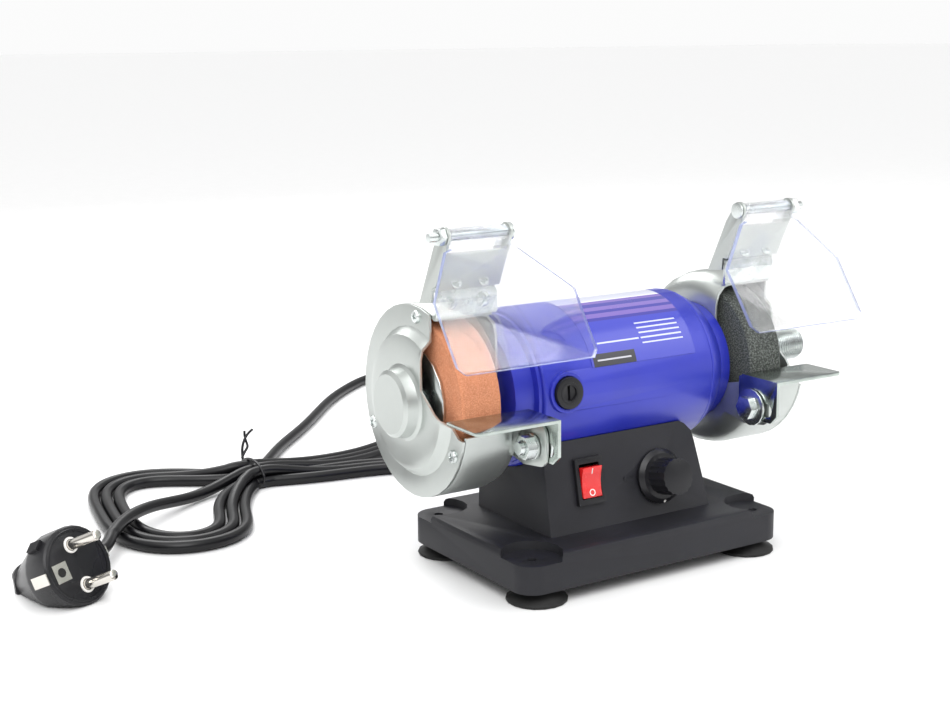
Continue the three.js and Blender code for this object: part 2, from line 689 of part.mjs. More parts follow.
// Clear shield hung on the hinge bolt; start is its left edge from the guards' middle plane.
function eyeShield(start, hand) {
  const t = SHIELD.sheet;
  const profile = shapeOf([
    [HINGE.y - HINGE.barrel, HINGE.z],
    [-25, 157.5],
    [-15, 133.3],
    [-35.5, 105],
    [-35.5 + t * 1.25, 105],
    [-15 + t * 1.15, 133.3],
    [-25 + t * 1.3, 157.2],
    [HINGE.y - 1, HINGE.z - HINGE.barrel + 0.2],
  ]);
  const x = GUARD.centre + start;
  const [b0, b1] = acrossPair(HINGE.from, HINGE.to, hand);
  const face = shapeOf([
    [b0, 165],
    [b0, 157.6],
    [x, 156.2],
    [x, 108],
    [x + 3, 105],
    [x + SHIELD.foot - 3, 105],
    [x + SHIELD.foot, 108],
    [x + SHIELD.bend, 133.3],
    [x + SHIELD.top, 156.2],
    [b1, 157.6],
    [b1, 165],
  ]);
  const sheet = alongX(profile, x - 1, x + SHIELD.bend + 1).intersect(alongY(face, -60, 10));
  const barrel = rodX(b0, b1, HINGE.barrel, HINGE.y, HINGE.z, 20);
  return sheet.add(barrel).subtract(rodX(-110, 120, HINGE.bore, HINGE.y, HINGE.z, 16));
}

function hingeBolt(hand) {
  const [h0, h1] = acrossPair(65, 66, hand);
  const [s0, s1] = acrossPair(65.5, 106.5, hand);
  const [n0, n1] = acrossPair(BRACKET.to + 0.4 + GAP, BRACKET.to + 3.9, hand);
  return rodX(h0, h1, 3.8, HINGE.y, HINGE.z, 20)
    .add(rodX(s0, s1, HINGE.shank, HINGE.y, HINGE.z, 14))
    .add(alongX(hexagon(7, HINGE.y, HINGE.z), n0, n1));
}

function switchBody() {
  const shell = frontBlock(SWITCH.x, SWITCH.z, SWITCH.width, SWITCH.height, GAP, SWITCH.bezel)
    .add(frontBlock(SWITCH.x, SWITCH.z, SWITCH.width - 2.6, SWITCH.height - 2.6, -SWITCH.depth, 1));
  const pocket = frontBlock(SWITCH.x, SWITCH.z, ROCKER.width + 2 * GAP, 2 * ROCKER.half + 1.7, -4, 4);
  return shell.subtract(pocket);
}

function switchRocker() {
  const profile = shapeOf([
    [-ROCKER.half, 3.2],
    [-6.2, -2.5],
    [6.2, -2.5],
    [ROCKER.half, 3.2],
    [3.6, 2.3],
    [0, 2],
    [-3.6, 2.3],
  ]);
  const geometry = extruded(profile, ROCKER.width);
  geometry.applyMatrix4(new THREE.Matrix4().makeBasis(vector(0, 1, 0), vector(0, 0, 1), vector(1, 0, 0)));
  moved(geometry, -ROCKER.width / 2, 0, 0).rotateX(ROCKER.tilt);
  return onFront(moved(geometry, 0, 0, ROCKER.pivot), SWITCH.x, SWITCH.z);
}

function speedKnob() {
  const corners = [];
  const flutes = 18;
  for (let i = 0; i < flutes * 2; i++) {
    const angle = (i * Math.PI) / flutes;
    const radius = i % 2 ? KNOB.grip - KNOB.flute : KNOB.grip;
    corners.push([radius * Math.cos(angle), radius * Math.sin(angle)]);
  }
  const grip = onFront(moved(extruded(shapeOf(corners), KNOB.end - 3), 0, 0, 3), KNOB.x, KNOB.z);
  const skirt = turned([[0.6, 0], [0.6, KNOB.skirt], [2, KNOB.skirt], [3.6, KNOB.skirt - 2.2], [3.6, 0]], 32);
  skirt.rotateX(Math.PI / 2);
  const bore = frontRod(KNOB.x, KNOB.z, KNOB.shaft + GAP, -2, 11.6, 16);
  return grip.add(onFront(skirt, KNOB.x, KNOB.z)).subtract(bore);
}

function potentiometer() {
  return frontRod(KNOB.x, KNOB.z, 8, -11, -BASE.wall - 0.8, 24)
    .add(frontRod(KNOB.x, KNOB.z, 3.5, -4, 0.2, 16))
    .add(frontRod(KNOB.x, KNOB.z, KNOB.shaft, 0, 11.2, 16));
}

function speedBoard() {
  let board = box(-30, 34, -2, 24, 12.5, 14);
  board = board.add(box(-26, -12, 2, 14, 13.8, 27));
  board = board.add(box(-6, -2, 4, 14, 13.8, 24));
  return board.add(rodZ(12, 8, 4.5, 13.8, 26, 16));
}

function strainRelief() {
  const geometry = turned([
    [44.5, 0],
    [44.5, 6],
    [47, 6],
    [47, 5],
    [50.3, 5],
    [50.3, 6.4],
    [53, 6.4],
    [CORD.exitY - 2 * GAP, 4.1],
    [CORD.exitY - 2 * GAP, 0],
  ], 20);
  return solid(moved(geometry, CORD.exitX, 0, CORD.exitZ));
}

function circle(radius, sides) {
  const points = [];
  for (let i = 0; i < sides; i++) {
    const angle = (i * 2 * Math.PI) / sides;
    points.push([radius * Math.cos(angle), radius * Math.sin(angle)]);
  }
  return shapeOf(points);
}

function swept(points, radius, steps) {
  const path = new THREE.CatmullRomCurve3(points.map(([x, y, z]) => vector(x, y, z)));
  const settings = { steps, extrudePath: path, bevelEnabled: false };
  return solid(new THREE.ExtrudeGeometry(circle(radius, 8), settings));
}

function rodBetween(from, to, radius, segments = 12) {
  const start = vector(...from);
  const along = vector(...to).sub(start);
  const length = along.length();
  const geometry = turned([[0, 0], [0, radius], [length, radius], [length, 0]], segments);
  geometry.applyQuaternion(new THREE.Quaternion().setFromUnitVectors(vector(0, 1, 0), along.normalize()));
  return solid(moved(geometry, start.x, start.y, start.z));
}

function splineShape(points) {
  const curve = new THREE.SplineCurve([...points, points[0]].map(([x, y]) => new THREE.Vector2(x, y)));
  return new THREE.Shape(curve.getPoints(points.length * 2).slice(0, -1));
}

// The coiled and tied length of cord as one outer shape lying on the bench.
function cordHank() {
  const outline = splineShape([
    [60, 176], [64, 192], [56, 206], [20, 211], [-20, 212], [-60, 209], [-86, 211], [-108, 234],
    [-130, 258], [-153, 248], [-179, 204], [-188, 172], [-191, 144], [-187, 112], [-177, 97],
    [-158, 106], [-132, 136], [-108, 166], [-90, 187], [-70, 181], [-40, 173], [0, 169], [30, 170],
  ]);
  outline.holes.push(splineShape([
    [-127, 190], [-148, 174], [-158, 155], [-160, 131], [-149, 134], [-134, 152], [-121, 172],
  ]));
  const bevel = HANK.bevel;
  const slab = new THREE.ExtrudeGeometry(outline, {
    depth: HANK.height - 2 * bevel,
    bevelThickness: bevel,
    bevelSize: bevel,
    bevelOffset: -bevel,
    bevelSegments: 1,
  });
  const r = CORD.radius;
  return solid(moved(slab, 0, 0, bevel))
    .add(rodBetween([-92, 203, r], [...HANK.leadJoin, r], r))
    .add(rodBetween([-184, 146, r], [...HANK.tailJoin, r], r));
}

// From the strain relief round behind the machine to the tied hank.
function cordLead() {
  const r = CORD.radius;
  return swept([
    [CORD.exitX, CORD.exitY, CORD.exitZ],
    [CORD.exitX, 79, CORD.exitZ],
    [21.5, 88, 13.2],
    [26, 101, 9.6],
    [38, 120, 6],
    [58, 142, 4],
    [84, 163, r],
    [112, 190, r],
    [138, 224, r],
    [158, 262, r],
    [168, 302, r],
    [166, 340, r],
    [154, 370, r],
    [134, 390, r],
    [108, 396, r],
    [82, 386, r],
    [58, 368, r],
    [34, 346, r],
    [10, 318, r],
    [-11, 293, r],
    [-31, 271, r],
    [-52, 249, r],
    [-79.3, 218.8, r],
  ], r, 48);
}

function plugPoint(along, line, side) {
  const pins = vector(...PLUG_PINS).normalize();
  const down = vector(...PLUG_LINE).normalize();
  const out = vector().crossVectors(pins, down);
  return vector(PLUG.x, PLUG.y, PLUG.z)
    .addScaledVector(pins, along)
    .addScaledVector(down, line)
    .addScaledVector(out, side)
    .toArray();
}

function cordTail() {
  const r = CORD.radius;
  return swept([
    plugPoint(-26, 0, 27.3),
    plugPoint(-26, 0, 35),
    [-206, 117.5, 4.6],
    [-198.8, 127.1, r],
  ], r, 10);
}

function mainsPlug() {
  const pins = vector(...PLUG_PINS).normalize();
  const turn = new THREE.Quaternion().setFromUnitVectors(vector(0, 1, 0), pins);
  const profile = [[-40, 0], [-40, 5], [-36, 8.5], [-16, 17], [-13, 18.3], [-1, 18.3], [0, 17.4], [0, 0]];
  const geometry = turned(profile, 28);
  geometry.applyQuaternion(turn);
  let plug = solid(moved(geometry, PLUG.x, PLUG.y, PLUG.z));
  for (const side of [-1, 1]) {
    const base = plugPoint(-1, side * PLUG.spread, 0);
    plug = plug.add(rodBetween(base, plugPoint(PLUG.pinLength, side * PLUG.spread, 0), PLUG.pin, 14));
  }
  plug = plug.add(rodBetween(plugPoint(-24, 0, 0), plugPoint(-26, 0, 27), 4.4, 16));
  return plug.intersect(box(-400, 0, -100, 300, 0, 60));
}

const nodes = [];

function put(name, made, color, roughness, metalness) {
  const material = new THREE.MeshStandardMaterial({ color, roughness, metalness });
  const mesh = new THREE.Mesh(geometryOf(made), material);
  mesh.name = name;
  nodes.push(mesh);
}

const BLACK = 0x151618;
const BLUE = 0x14508f;
const SILVER = 0xc2c5c8;
const ZINC = 0xb5b7b2;
const STEEL = 0x9a9c9e;
const CLEAR = 0xcfe3ee;

put("base_housing", baseHousing(), BLACK, 0.7, 0);
put("base_plate", basePlate(), 0x2a2b2d, 0.6, 0.2);
for (const [name, sx, sy] of [
  ["foot_front_left", -1, -1],
  ["foot_front_right", 1, -1],
  ["foot_back_left", -1, 1],
  ["foot_back_right", 1, 1],
]) {
  put(name, foot(sx * FOOT.x, sy * FOOT.y), 0x1b1b1c, 0.9, 0);
}
put("motor_housing", motorHousing(), BLUE, 0.4, 0.3);
put("motor_end_bell", endBell(), BLUE, 0.4, 0.3);
put("stator_core", stator(), 0x77797c, 0.5, 0.9);
put("field_coil_upper", fieldCoil(1), 0xa2522a, 0.5, 0.6);
put("field_coil_lower", fieldCoil(-1), 0xa2522a, 0.5, 0.6);
put("armature", armature(), 0x85878a, 0.5, 0.9);
put("commutator", ring(COMMUTATOR.left, COMMUTATOR.right, 5.8, COMMUTATOR.radius), 0xb87333, 0.35, 1);
put("cooling_fan", coolingFan(), 0x303236, 0.6, 0);
put("spindle", spindle(), STEEL, 0.3, 1);
for (const [name, x] of [["left_bearing", BEARING.left], ["right_bearing", BEARING.right]]) {
  put(name, ring(x, x + BEARING.width, BEARING.bore, BEARING.radius), 0x8f9194, 0.3, 1);
}
for (const [name, side] of [["front", -1], ["rear", 1]]) {
  put(name + "_brush_holder", brushHolder(side), 0xb08d3c, 0.4, 1);
  const carbon = brushBlock(BRUSH.width, BRUSH.height, BRUSH.inner, BRUSH.outer, side);
  put(name + "_brush", carbon, 0x2c2c2e, 0.8, 0);
  put(name + "_brush_cap", brushCap(side), BLACK, 0.5, 0);
}
put("speed_control_board", speedBoard(), 0x2d6b3a, 0.6, 0);
put("potentiometer", potentiometer(), 0x6d7074, 0.4, 0.8);
put("speed_knob", speedKnob(), BLACK, 0.5, 0);
put("switch_body", switchBody(), BLACK, 0.45, 0);
put("switch_rocker", switchRocker(), 0xc42a1f, 0.3, 0);
put("strain_relief", strainRelief(), BLACK, 0.6, 0);
for (const [name, hand] of [["left", -1], ["right", 1]]) {
  const outer = hand < 0 ? WHEEL.leftOuter : WHEEL.rightOuter;
  const inner = outer - hand * WHEEL.width;
  const start = hand < 0 ? SHIELD.leftStart : SHIELD.rightStart;
  put(name + "_guard_bowl", guardBowl(hand), SILVER, 0.4, 0.6);
  put(name + "_guard_cover", guardCover(hand), SILVER, 0.4, 0.6);
  put(name + "_wheel", wheel(outer, hand), hand < 0 ? 0xd8744a : 0x6f7173, 0.95, 0);
  put(name + "_outer_flange", flange(outer, hand, FLANGE.outer, 0), ZINC, 0.35, 1);
  put(name + "_inner_flange", flange(inner, -hand, FLANGE.inner, hand < 0 ? 4 : 0), ZINC, 0.35, 1);
  put(name + "_spindle_nut", spindleNut(outer, hand), ZINC, 0.35, 1);
  put(name + "_shield_bracket", shieldBracket(hand), SILVER, 0.4, 0.6);
  put(name + "_spark_plate", sparkPlate(hand), ZINC, 0.35, 0.9);
  put(name + "_eye_shield", eyeShield(start, hand), CLEAR, 0.08, 0);
  put(name + "_hinge_bolt", hingeBolt(hand), ZINC, 0.35, 1);
  put(name + "_tool_rest", toolRest(hand), ZINC, 0.4, 0.9);
  put(name + "_rest_bolt", restBolt(hand), ZINC, 0.35, 1);
  put(name + "_rest_nut", restNut(hand), ZINC, 0.35, 1);
}
put("flex_shaft_collar", flexCollar(), ZINC, 0.3, 1);

const machine = new THREE.Group();
for (const mesh of nodes.splice(0)) machine.add(mesh);
put("cord_lead", cordLead(), BLACK, 0.4, 0);
put("cord_hank", cordHank(), BLACK, 0.4, 0);
put("cord_tail", cordTail(), BLACK, 0.4, 0);
put("mains_plug", mainsPlug(), BLACK, 0.5, 0);
const cords = new THREE.Group();
for (const mesh of nodes) cords.add(mesh);
const middle = new THREE.Box3().setFromObject(machine, true).getCenter(new THREE.Vector3());
const grinder = new THREE.Group();
grinder.name = "bench_grinder";
grinder.add(machine, cords);
grinder.position.set(-middle.x, -middle.y, 0);

export default grinder;
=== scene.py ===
import math

import bmesh
import bpy
import numpy as np
from mathutils import Matrix, Vector


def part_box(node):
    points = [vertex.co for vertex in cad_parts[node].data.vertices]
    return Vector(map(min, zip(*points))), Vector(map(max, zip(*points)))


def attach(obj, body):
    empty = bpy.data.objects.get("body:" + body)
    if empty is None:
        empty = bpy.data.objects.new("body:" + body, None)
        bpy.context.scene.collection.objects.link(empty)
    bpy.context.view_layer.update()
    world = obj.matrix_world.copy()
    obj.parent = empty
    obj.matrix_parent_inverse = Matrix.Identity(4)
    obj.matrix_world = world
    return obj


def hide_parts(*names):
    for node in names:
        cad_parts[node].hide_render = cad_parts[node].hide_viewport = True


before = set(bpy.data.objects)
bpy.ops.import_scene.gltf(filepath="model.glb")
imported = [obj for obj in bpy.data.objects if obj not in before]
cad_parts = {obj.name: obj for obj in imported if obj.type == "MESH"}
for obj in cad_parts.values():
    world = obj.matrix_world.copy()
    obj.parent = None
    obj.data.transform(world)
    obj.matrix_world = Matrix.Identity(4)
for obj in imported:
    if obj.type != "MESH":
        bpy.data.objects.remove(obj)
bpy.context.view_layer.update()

MM = 0.001
low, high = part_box("base_housing")
SHIFT_X, SHIFT_Y = (low.x + high.x) / 2, (low.y + high.y) / 2
SHAFT_Y, SHAFT_Z = 9.3, 85.8
GUARD_X = 2.46
COVER_FACE = 98.5
COVER_SCREW_CIRCLE = 39.4
PEDESTAL_FRONT_Y, DECK_Z, LEAN = -30.4, 23.3, 0.2067
SWITCH_X, SWITCH_Z, ROCKER_TILT = -24, 45.3, 0.1745
KNOB_X, KNOB_Z = 16.5, 41.2
BRUSH_X, BRUSH_TILT, CAP_END = -38, 0.087, 40.4
SHIELD_BARREL_Z = 158.5
CAMERA_AT = (-428.45, -567.16, 244.56)
PIN_AXIS = Vector((0.38, -0.83, 0.41)).normalized()
PIN_LINE = Vector((0.23, -0.345, -0.91)).normalized()
PLUG = Vector((-232.1, 71.9, 17.2))


def place(x, y, z):
    """A point of the machine in millimetres, as a point of the final frame in metres."""
    return Vector((x * MM + SHIFT_X, y * MM + SHIFT_Y, z * MM))


def on_front(x, z, out=0.0):
    y = PEDESTAL_FRONT_Y + (z - DECK_Z) * math.tan(LEAN)
    return place(x, y - out * math.cos(LEAN), z + out * math.sin(LEAN))


FRONT_OUT = Vector((0, -math.cos(LEAN), math.sin(LEAN)))
FRONT_UP = Vector((0, math.sin(LEAN), math.cos(LEAN)))


# ---- camera ----
def add_camera():
    yaw, pitch, roll = math.radians(-32.4), math.radians(11.79), math.radians(-0.52)
    forward = Vector((-math.sin(yaw) * math.cos(pitch), math.cos(yaw) * math.cos(pitch), -math.sin(pitch)))
    right = Vector((math.cos(yaw), math.sin(yaw), 0))
    up = right.cross(forward)
    c, s = math.cos(roll), math.sin(roll)
    right2, up2 = c * right + s * up, -s * right + c * up
    data = bpy.data.cameras.new("camera")
    data.sensor_width = 36
    data.sensor_fit = "HORIZONTAL"
    data.lens = 57.85
    data.clip_start = 0.01
    camera = bpy.data.objects.new("camera", data)
    bpy.context.scene.collection.objects.link(camera)
    rows = [[right2[i], up2[i], -forward[i]] for i in range(3)]
    camera.matrix_world = Matrix.Translation(place(*CAMERA_AT)) @ Matrix(rows).to_4x4()
    bpy.context.scene.camera = camera


add_camera()


# ---- materials ----
def socket(shader, name, value):
    if name in shader.inputs:
        shader.inputs[name].default_value = value


def material(name, color, rough=0.4, metal=0.0, vary=0.06, grain=400.0, bump=0.05, depth=0.1, coat=0.0,
             coat_rough=0.1, rough_vary=0.08, speck=None, patch=40.0):
    """Procedural surface: colour and roughness wander with two noises, and a fine noise raises the grain."""
    made = bpy.data.materials.new(name)
    made.use_nodes = True
    tree = made.node_tree
    shader = tree.nodes["Principled BSDF"]
    link = tree.links.new
    where = tree.nodes.new("ShaderNodeTexCoord")
    wide = tree.nodes.new("ShaderNodeTexNoise")
    wide.inputs["Scale"].default_value = patch
    wide.inputs["Detail"].default_value = 5
    fine = tree.nodes.new("ShaderNodeTexNoise")
    fine.inputs["Scale"].default_value = grain
    fine.inputs["Detail"].default_value = 4
    for noise in (wide, fine):
        link(where.outputs["Object"], noise.inputs["Vector"])
    ramp = tree.nodes.new("ShaderNodeValToRGB")
    ramp.color_ramp.elements[0].position = 0.3
    ramp.color_ramp.elements[1].position = 0.7
    ramp.color_ramp.elements[0].color = [*[max(0, c * (1 - vary)) for c in color], 1]
    ramp.color_ramp.elements[1].color = [*[min(1, c * (1 + vary)) for c in color], 1]
    link(wide.outputs["Fac"], ramp.inputs["Fac"])
    result = ramp.outputs["Color"]
    if speck:
        spots = tree.nodes.new("ShaderNodeValToRGB")
        spots.color_ramp.elements[0].position = 0.46
        spots.color_ramp.elements[1].position = 0.6
        spots.color_ramp.elements[0].color = [0, 0, 0, 1]
        spots.color_ramp.elements[1].color = [1, 1, 1, 1]
        link(fine.outputs["Fac"], spots.inputs["Fac"])
        mix = tree.nodes.new("ShaderNodeMix")
        mix.data_type = "RGBA"
        link(spots.outputs["Color"], mix.inputs[0])
        link(result, mix.inputs[6])
        mix.inputs[7].default_value = [*speck, 1]
        result = mix.outputs[2]
    link(result, shader.inputs["Base Color"])
    span = tree.nodes.new("ShaderNodeMapRange")
    span.inputs["To Min"].default_value = max(0.02, rough - rough_vary)
    span.inputs["To Max"].default_value = min(1, rough + rough_vary)
    link(wide.outputs["Fac"], span.inputs["Value"])
    link(span.outputs["Result"], shader.inputs["Roughness"])
    raised = tree.nodes.new("ShaderNodeBump")
    raised.inputs["Strength"].default_value = bump
    raised.inputs["Distance"].default_value = depth * MM
    link(fine.outputs["Fac"], raised.inputs["Height"])
    link(raised.outputs["Normal"], shader.inputs["Normal"])
    socket(shader, "Metallic", metal)
    socket(shader, "Coat Weight", coat)
    socket(shader, "Coat Roughness", coat_rough)
    return made


M = {
    "black_abs": material("black_abs", (0.017, 0.017, 0.021), 0.48, 0, 0.15, 2600, 0.35, 0.12),
    "black_gloss": material("black_gloss", (0.012, 0.012, 0.014), 0.28, 0, 0.1, 900, 0.06, 0.05),
    "rubber": material("rubber", (0.012, 0.012, 0.012), 0.55, 0, 0.2, 1200, 0.15, 0.08),
    "blue": material("blue", (0.02, 0.03, 0.43), 0.36, 0.15, 0.06, 1500, 0.12, 0.05,
                     coat=0.25, coat_rough=0.2),
    "silver": material("silver", (0.52, 0.55, 0.53), 0.33, 0.85, 0.05, 2200, 0.12, 0.05,
                       coat=0.15, coat_rough=0.25),
    "zinc": material("zinc", (0.66, 0.7, 0.69), 0.24, 1.0, 0.14, 700, 0.05, 0.05,
                     rough_vary=0.12, patch=150),
    # The tool rests get a darker, greener copy of zinc: the green-grey tint is the plating's own tone, and
    # the extra darkness is painted dark reflection.
    "rest_zinc_tint_and_dark_reflection": material("rest_zinc_tint_and_dark_reflection", (0.46, 0.51, 0.48), 0.22, 1.0, 0.18, 700, 0.05, 0.05,
                          rough_vary=0.1, patch=110),
    "steel": material("steel", (0.5, 0.5, 0.5), 0.3, 1.0, 0.08, 900, 0.05, 0.05),
    "nickel": material("nickel", (0.74, 0.71, 0.66), 0.16, 1.0, 0.05, 900, 0.03, 0.03),
    "iron": material("iron", (0.22, 0.22, 0.23), 0.5, 0.8, 0.1, 900, 0.1, 0.1),
    "copper": material("copper", (0.55, 0.19, 0.07), 0.35, 0.9, 0.15, 1500, 0.2, 0.1),
    "brass": material("brass", (0.6, 0.44, 0.16), 0.3, 1.0, 0.1, 900, 0.05, 0.05),
    "board": material("board", (0.02, 0.14, 0.05), 0.5, 0, 0.1, 500, 0.1, 0.1),
    "red": material("red", (0.72, 0.012, 0.012), 0.25, 0, 0.05, 900, 0.04, 0.04, coat=0.4),
    "white": material("white", (0.85, 0.83, 0.8), 0.5, 0, 0.03, 900, 0.05, 0.03),
    "orange_grit": material("orange_grit", (0.6, 0.22, 0.105), 0.9, 0, 0.1, 2600, 0.8, 0.3,
                            speck=(0.76, 0.34, 0.19), rough_vary=0.05, patch=120),
    "grey_grit": material("grey_grit", (0.04, 0.045, 0.04), 0.85, 0, 0.2, 1500, 1.0, 0.6,
                          speck=(0.17, 0.185, 0.17), rough_vary=0.08, patch=120),
    "cord": material("cord", (0.004, 0.004, 0.005), 0.32, 0, 0.15, 700, 0.08, 0.06, rough_vary=0.1),
}


for dull in ("cord", "black_abs", "black_gloss", "rubber"):
    socket(M[dull].node_tree.nodes["Principled BSDF"], "Specular IOR Level", 0.32)


def clear_plastic(name, color, alpha, rough):
    made = material(name, color, rough, 0, 0.02, 900, 0.02, 0.02, rough_vary=0.01)
    shader = made.node_tree.nodes["Principled BSDF"]
    socket(shader, "Transmission Weight", 1.0)
    socket(shader, "IOR", 1.49)
    socket(shader, "Alpha", alpha)
    made.surface_render_method = "BLENDED"
    return made


M["clear"] = clear_plastic("clear", (0.93, 0.95, 1.0), 0.3, 0.05)
M["clear_edge"] = clear_plastic("clear_edge", (0.42, 0.48, 0.8), 0.85, 0.2)
M["clear_barrel"] = clear_plastic("clear_barrel", (0.86, 0.89, 0.98), 0.45, 0.12)
socket(M["clear_edge"].node_tree.nodes["Principled BSDF"], "Transmission Weight", 0.4)

NODE_MATERIALS = {
    "base_housing": "black_abs", "base_plate": "black_abs", "motor_housing": "blue", "motor_end_bell": "blue",
    "stator_core": "iron", "armature": "iron", "field_coil_upper": "copper", "field_coil_lower": "copper",
    "commutator": "copper", "cooling_fan": "black_gloss", "spindle": "steel", "left_bearing": "steel",
    "right_bearing": "steel", "front_brush_holder": "brass", "rear_brush_holder": "brass",
    "front_brush": "rubber", "rear_brush": "rubber", "front_brush_cap": "black_gloss",
    "rear_brush_cap": "black_gloss", "speed_control_board": "board", "potentiometer": "steel",
    "speed_knob": "black_gloss", "switch_body": "black_gloss", "switch_rocker": "red",
    "strain_relief": "rubber", "flex_shaft_collar": "zinc", "mains_plug": "black_gloss",
}
SIDE_MATERIALS = {
    "guard_bowl": "silver", "guard_cover": "silver", "outer_flange": "zinc", "inner_flange": "zinc",
    "spindle_nut": "zinc", "shield_bracket": "silver", "spark_plate": "zinc", "hinge_bolt": "zinc",
    "tool_rest": "rest_zinc_tint_and_dark_reflection", "rest_bolt": "zinc", "rest_nut": "zinc", "eye_shield": "clear",
}


def dress_nodes():
    for name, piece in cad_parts.items():
        key = NODE_MATERIALS.get(name) or SIDE_MATERIALS.get(name.split("_", 1)[-1])
        if name.startswith("foot_"):
            key = "rubber"
        if name.endswith("_wheel"):
            key = "orange_grit" if name.startswith("left") else "grey_grit"
        mesh = piece.data
        mesh.materials.clear()
        mesh.materials.append(M[key or "cord"])
        for face in mesh.polygons:
            face.use_smooth = True
            face.material_index = 0
        for extra in ("custom_normal", "sharp_edge", "sharp_face"):
            if extra in mesh.attributes:
                mesh.attributes.remove(mesh.attributes[extra])
        weld = piece.modifiers.new("weld", "WELD")
        weld.merge_threshold = 1e-6
        if not name.startswith("cord_") and not name.endswith("_wheel"):
            bevel = piece.modifiers.new("edge", "BEVEL")
            bevel.width = 0.25 * MM
            bevel.segments = 2
            bevel.limit_method = "ANGLE"
            bevel.angle_limit = math.radians(42)
        split = piece.modifiers.new("crisp", "EDGE_SPLIT")
        split.split_angle = math.radians(33)
        split.use_edge_sharp = False


dress_nodes()


def tint_shield_edges():
    """The cut edges of the clear sheet catch more light than its faces."""
    for side in ("left", "right"):
        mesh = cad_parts[side + "_eye_shield"].data
        mesh.materials.append(M["clear_edge"])
        mesh.materials.append(M["clear_barrel"])
        for face in mesh.polygons:
            cut_edge = abs(face.normal.z) >= 0.8 or abs(face.normal.x) >= 0.01
            if face.center.z > SHIELD_BARREL_Z * MM:
                face.material_index = 2
            elif cut_edge and abs(face.normal.y) <= 0.75:
                face.material_index = 1


tint_shield_edges()


def plate_plug_pins():
    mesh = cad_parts["mains_plug"].data
    mesh.materials.append(M["nickel"])
    centre = place(*PLUG)
    for face in mesh.polygons:
        if (face.center - centre).dot(PIN_AXIS) > 0.4 * MM:
            face.material_index = 1


plate_plug_pins()


# ---- pieces made here ----
def add_mesh(name, points, faces, key, body, angle=35):
    mesh = bpy.data.meshes.new(name)
    mesh.from_pydata([tuple(p) for p in points], [], faces)
    mesh.materials.append(M[key])
    piece = bpy.data.objects.new(name, mesh)
    bpy.context.scene.collection.objects.link(piece)
    mesh.validate()
    work = bmesh.new()
    work.from_mesh(mesh)
    bmesh.ops.remove_doubles(work, verts=work.verts, dist=1e-7)
    bmesh.ops.recalc_face_normals(work, faces=work.faces)
    work.to_mesh(mesh)
    work.free()
    for face in mesh.polygons:
        face.use_smooth = True
    mesh.set_sharp_from_angle(angle=math.radians(angle))
    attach(piece, body)
    return piece


def axes_for(direction):
    w = Vector(direction).normalized()
    u = w.cross(Vector((0, 0, 1)))
    if u.length < 0.2:
        u = w.cross(Vector((0, 1, 0)))
    u.normalize()
    return u, w.cross(u), w


def lathe(profile, origin, direction, segments=40):
    """Points and faces of a profile of (distance, radius) in millimetres turned about a line."""
    u, v, w = axes_for(direction)
    points, faces = [], []
    for distance, radius in profile:
        for i in range(segments):
            a = 2 * math.pi * i / segments
            points.append(origin + w * distance * MM + (u * math.cos(a) + v * math.sin(a)) * radius * MM)
    for r in range(len(profile) - 1):
        for i in range(segments):
            j = (i + 1) % segments
            a, b = r * segments, (r + 1) * segments
            faces.append([a + i, a + j, b + j, b + i])
    return points, faces


def block(origin, direction, across, up, sizes):
    """A box with its base centred on origin: sizes are (across, up, out) in millimetres."""
    w, u, v = Vector(direction), Vector(across), Vector(up)
    points = []
    for k in (0, 1):
        for a, b in ((-1, -1), (1, -1), (1, 1), (-1, 1)):
            points.append(origin + (u * a * sizes[0] / 2 + v * b * sizes[1] / 2 + w * k * sizes[2]) * MM)
    faces = [[3, 2, 1, 0], [4, 5, 6, 7], [0, 1, 5, 4], [1, 2, 6, 5], [2, 3, 7, 6], [3, 0, 4, 7]]
    return points, faces


def pan_screw(name, origin, direction, radius, height, turn):
    """A cross-recess pan-head screw: a domed ring round a four-armed hollow."""
    u, v, w = axes_for(direction)
    steps = 32
    mouth, floor, pit = [], [], []
    for i in range(steps):
        a = 2 * math.pi * i / steps + turn
        lobe = abs(math.cos(2 * a)) ** 3
        reach = radius * (0.2 + 0.42 * lobe)
        mouth.append((reach, height * (1 - 0.06 * lobe)))
        floor.append((reach * 0.75, height * 0.35))
        pit.append((0.001, height * 0.2))
    dome = ((radius, 0.0), (radius, height * 0.45), (radius * 0.86, height * 0.82))
    rings = [*[[spot] * steps for spot in dome], mouth, floor, pit]
    points, faces = [], []
    for ring in rings:
        for i, (r, h) in enumerate(ring):
            a = 2 * math.pi * i / steps
            points.append(origin + (w * h + (u * math.cos(a) + v * math.sin(a)) * r) * MM)
    for k in range(len(rings) - 1):
        for i in range(steps):
            j = (i + 1) % steps
            faces.append([k * steps + i, k * steps + j, (k + 1) * steps + j, (k + 1) * steps + i])
    add_mesh(name, points, faces, "zinc", "frame")


def across(distance, hand):
    return GUARD_X + hand * distance


def guard_screws():
    for side, hand in (("left", -1), ("right", 1)):
        for i, angle in enumerate((97.7, 207.0, 334.5)):
            y = SHAFT_Y + COVER_SCREW_CIRCLE * math.cos(math.radians(angle))
            z = SHAFT_Z + COVER_SCREW_CIRCLE * math.sin(math.radians(angle))
            spot = place(across(COVER_FACE, hand), y, z)
            pan_screw(f"{side}_cover_screw_{i + 1}", spot, (hand, 0, 0), 3.0, 1.7, turn=0.3 + i)
        for i, rel in enumerate((74, 91)):
            spot = place(across(rel, hand), -11.5, 132.5)
            pan_screw(f"{side}_spark_plate_screw_{i + 1}", spot, (0, -1, 0), 3.3, 1.0, turn=0.5 + i)
        for i, rel in enumerate((75.5, 89.5)):
            spot = place(across(rel, hand), -14.35, 141.6)
            pan_screw(f"{side}_bracket_screw_{i + 1}", spot, (0, -0.91, 0.41), 2.7, 1.0, turn=0.2 + i)


guard_screws()


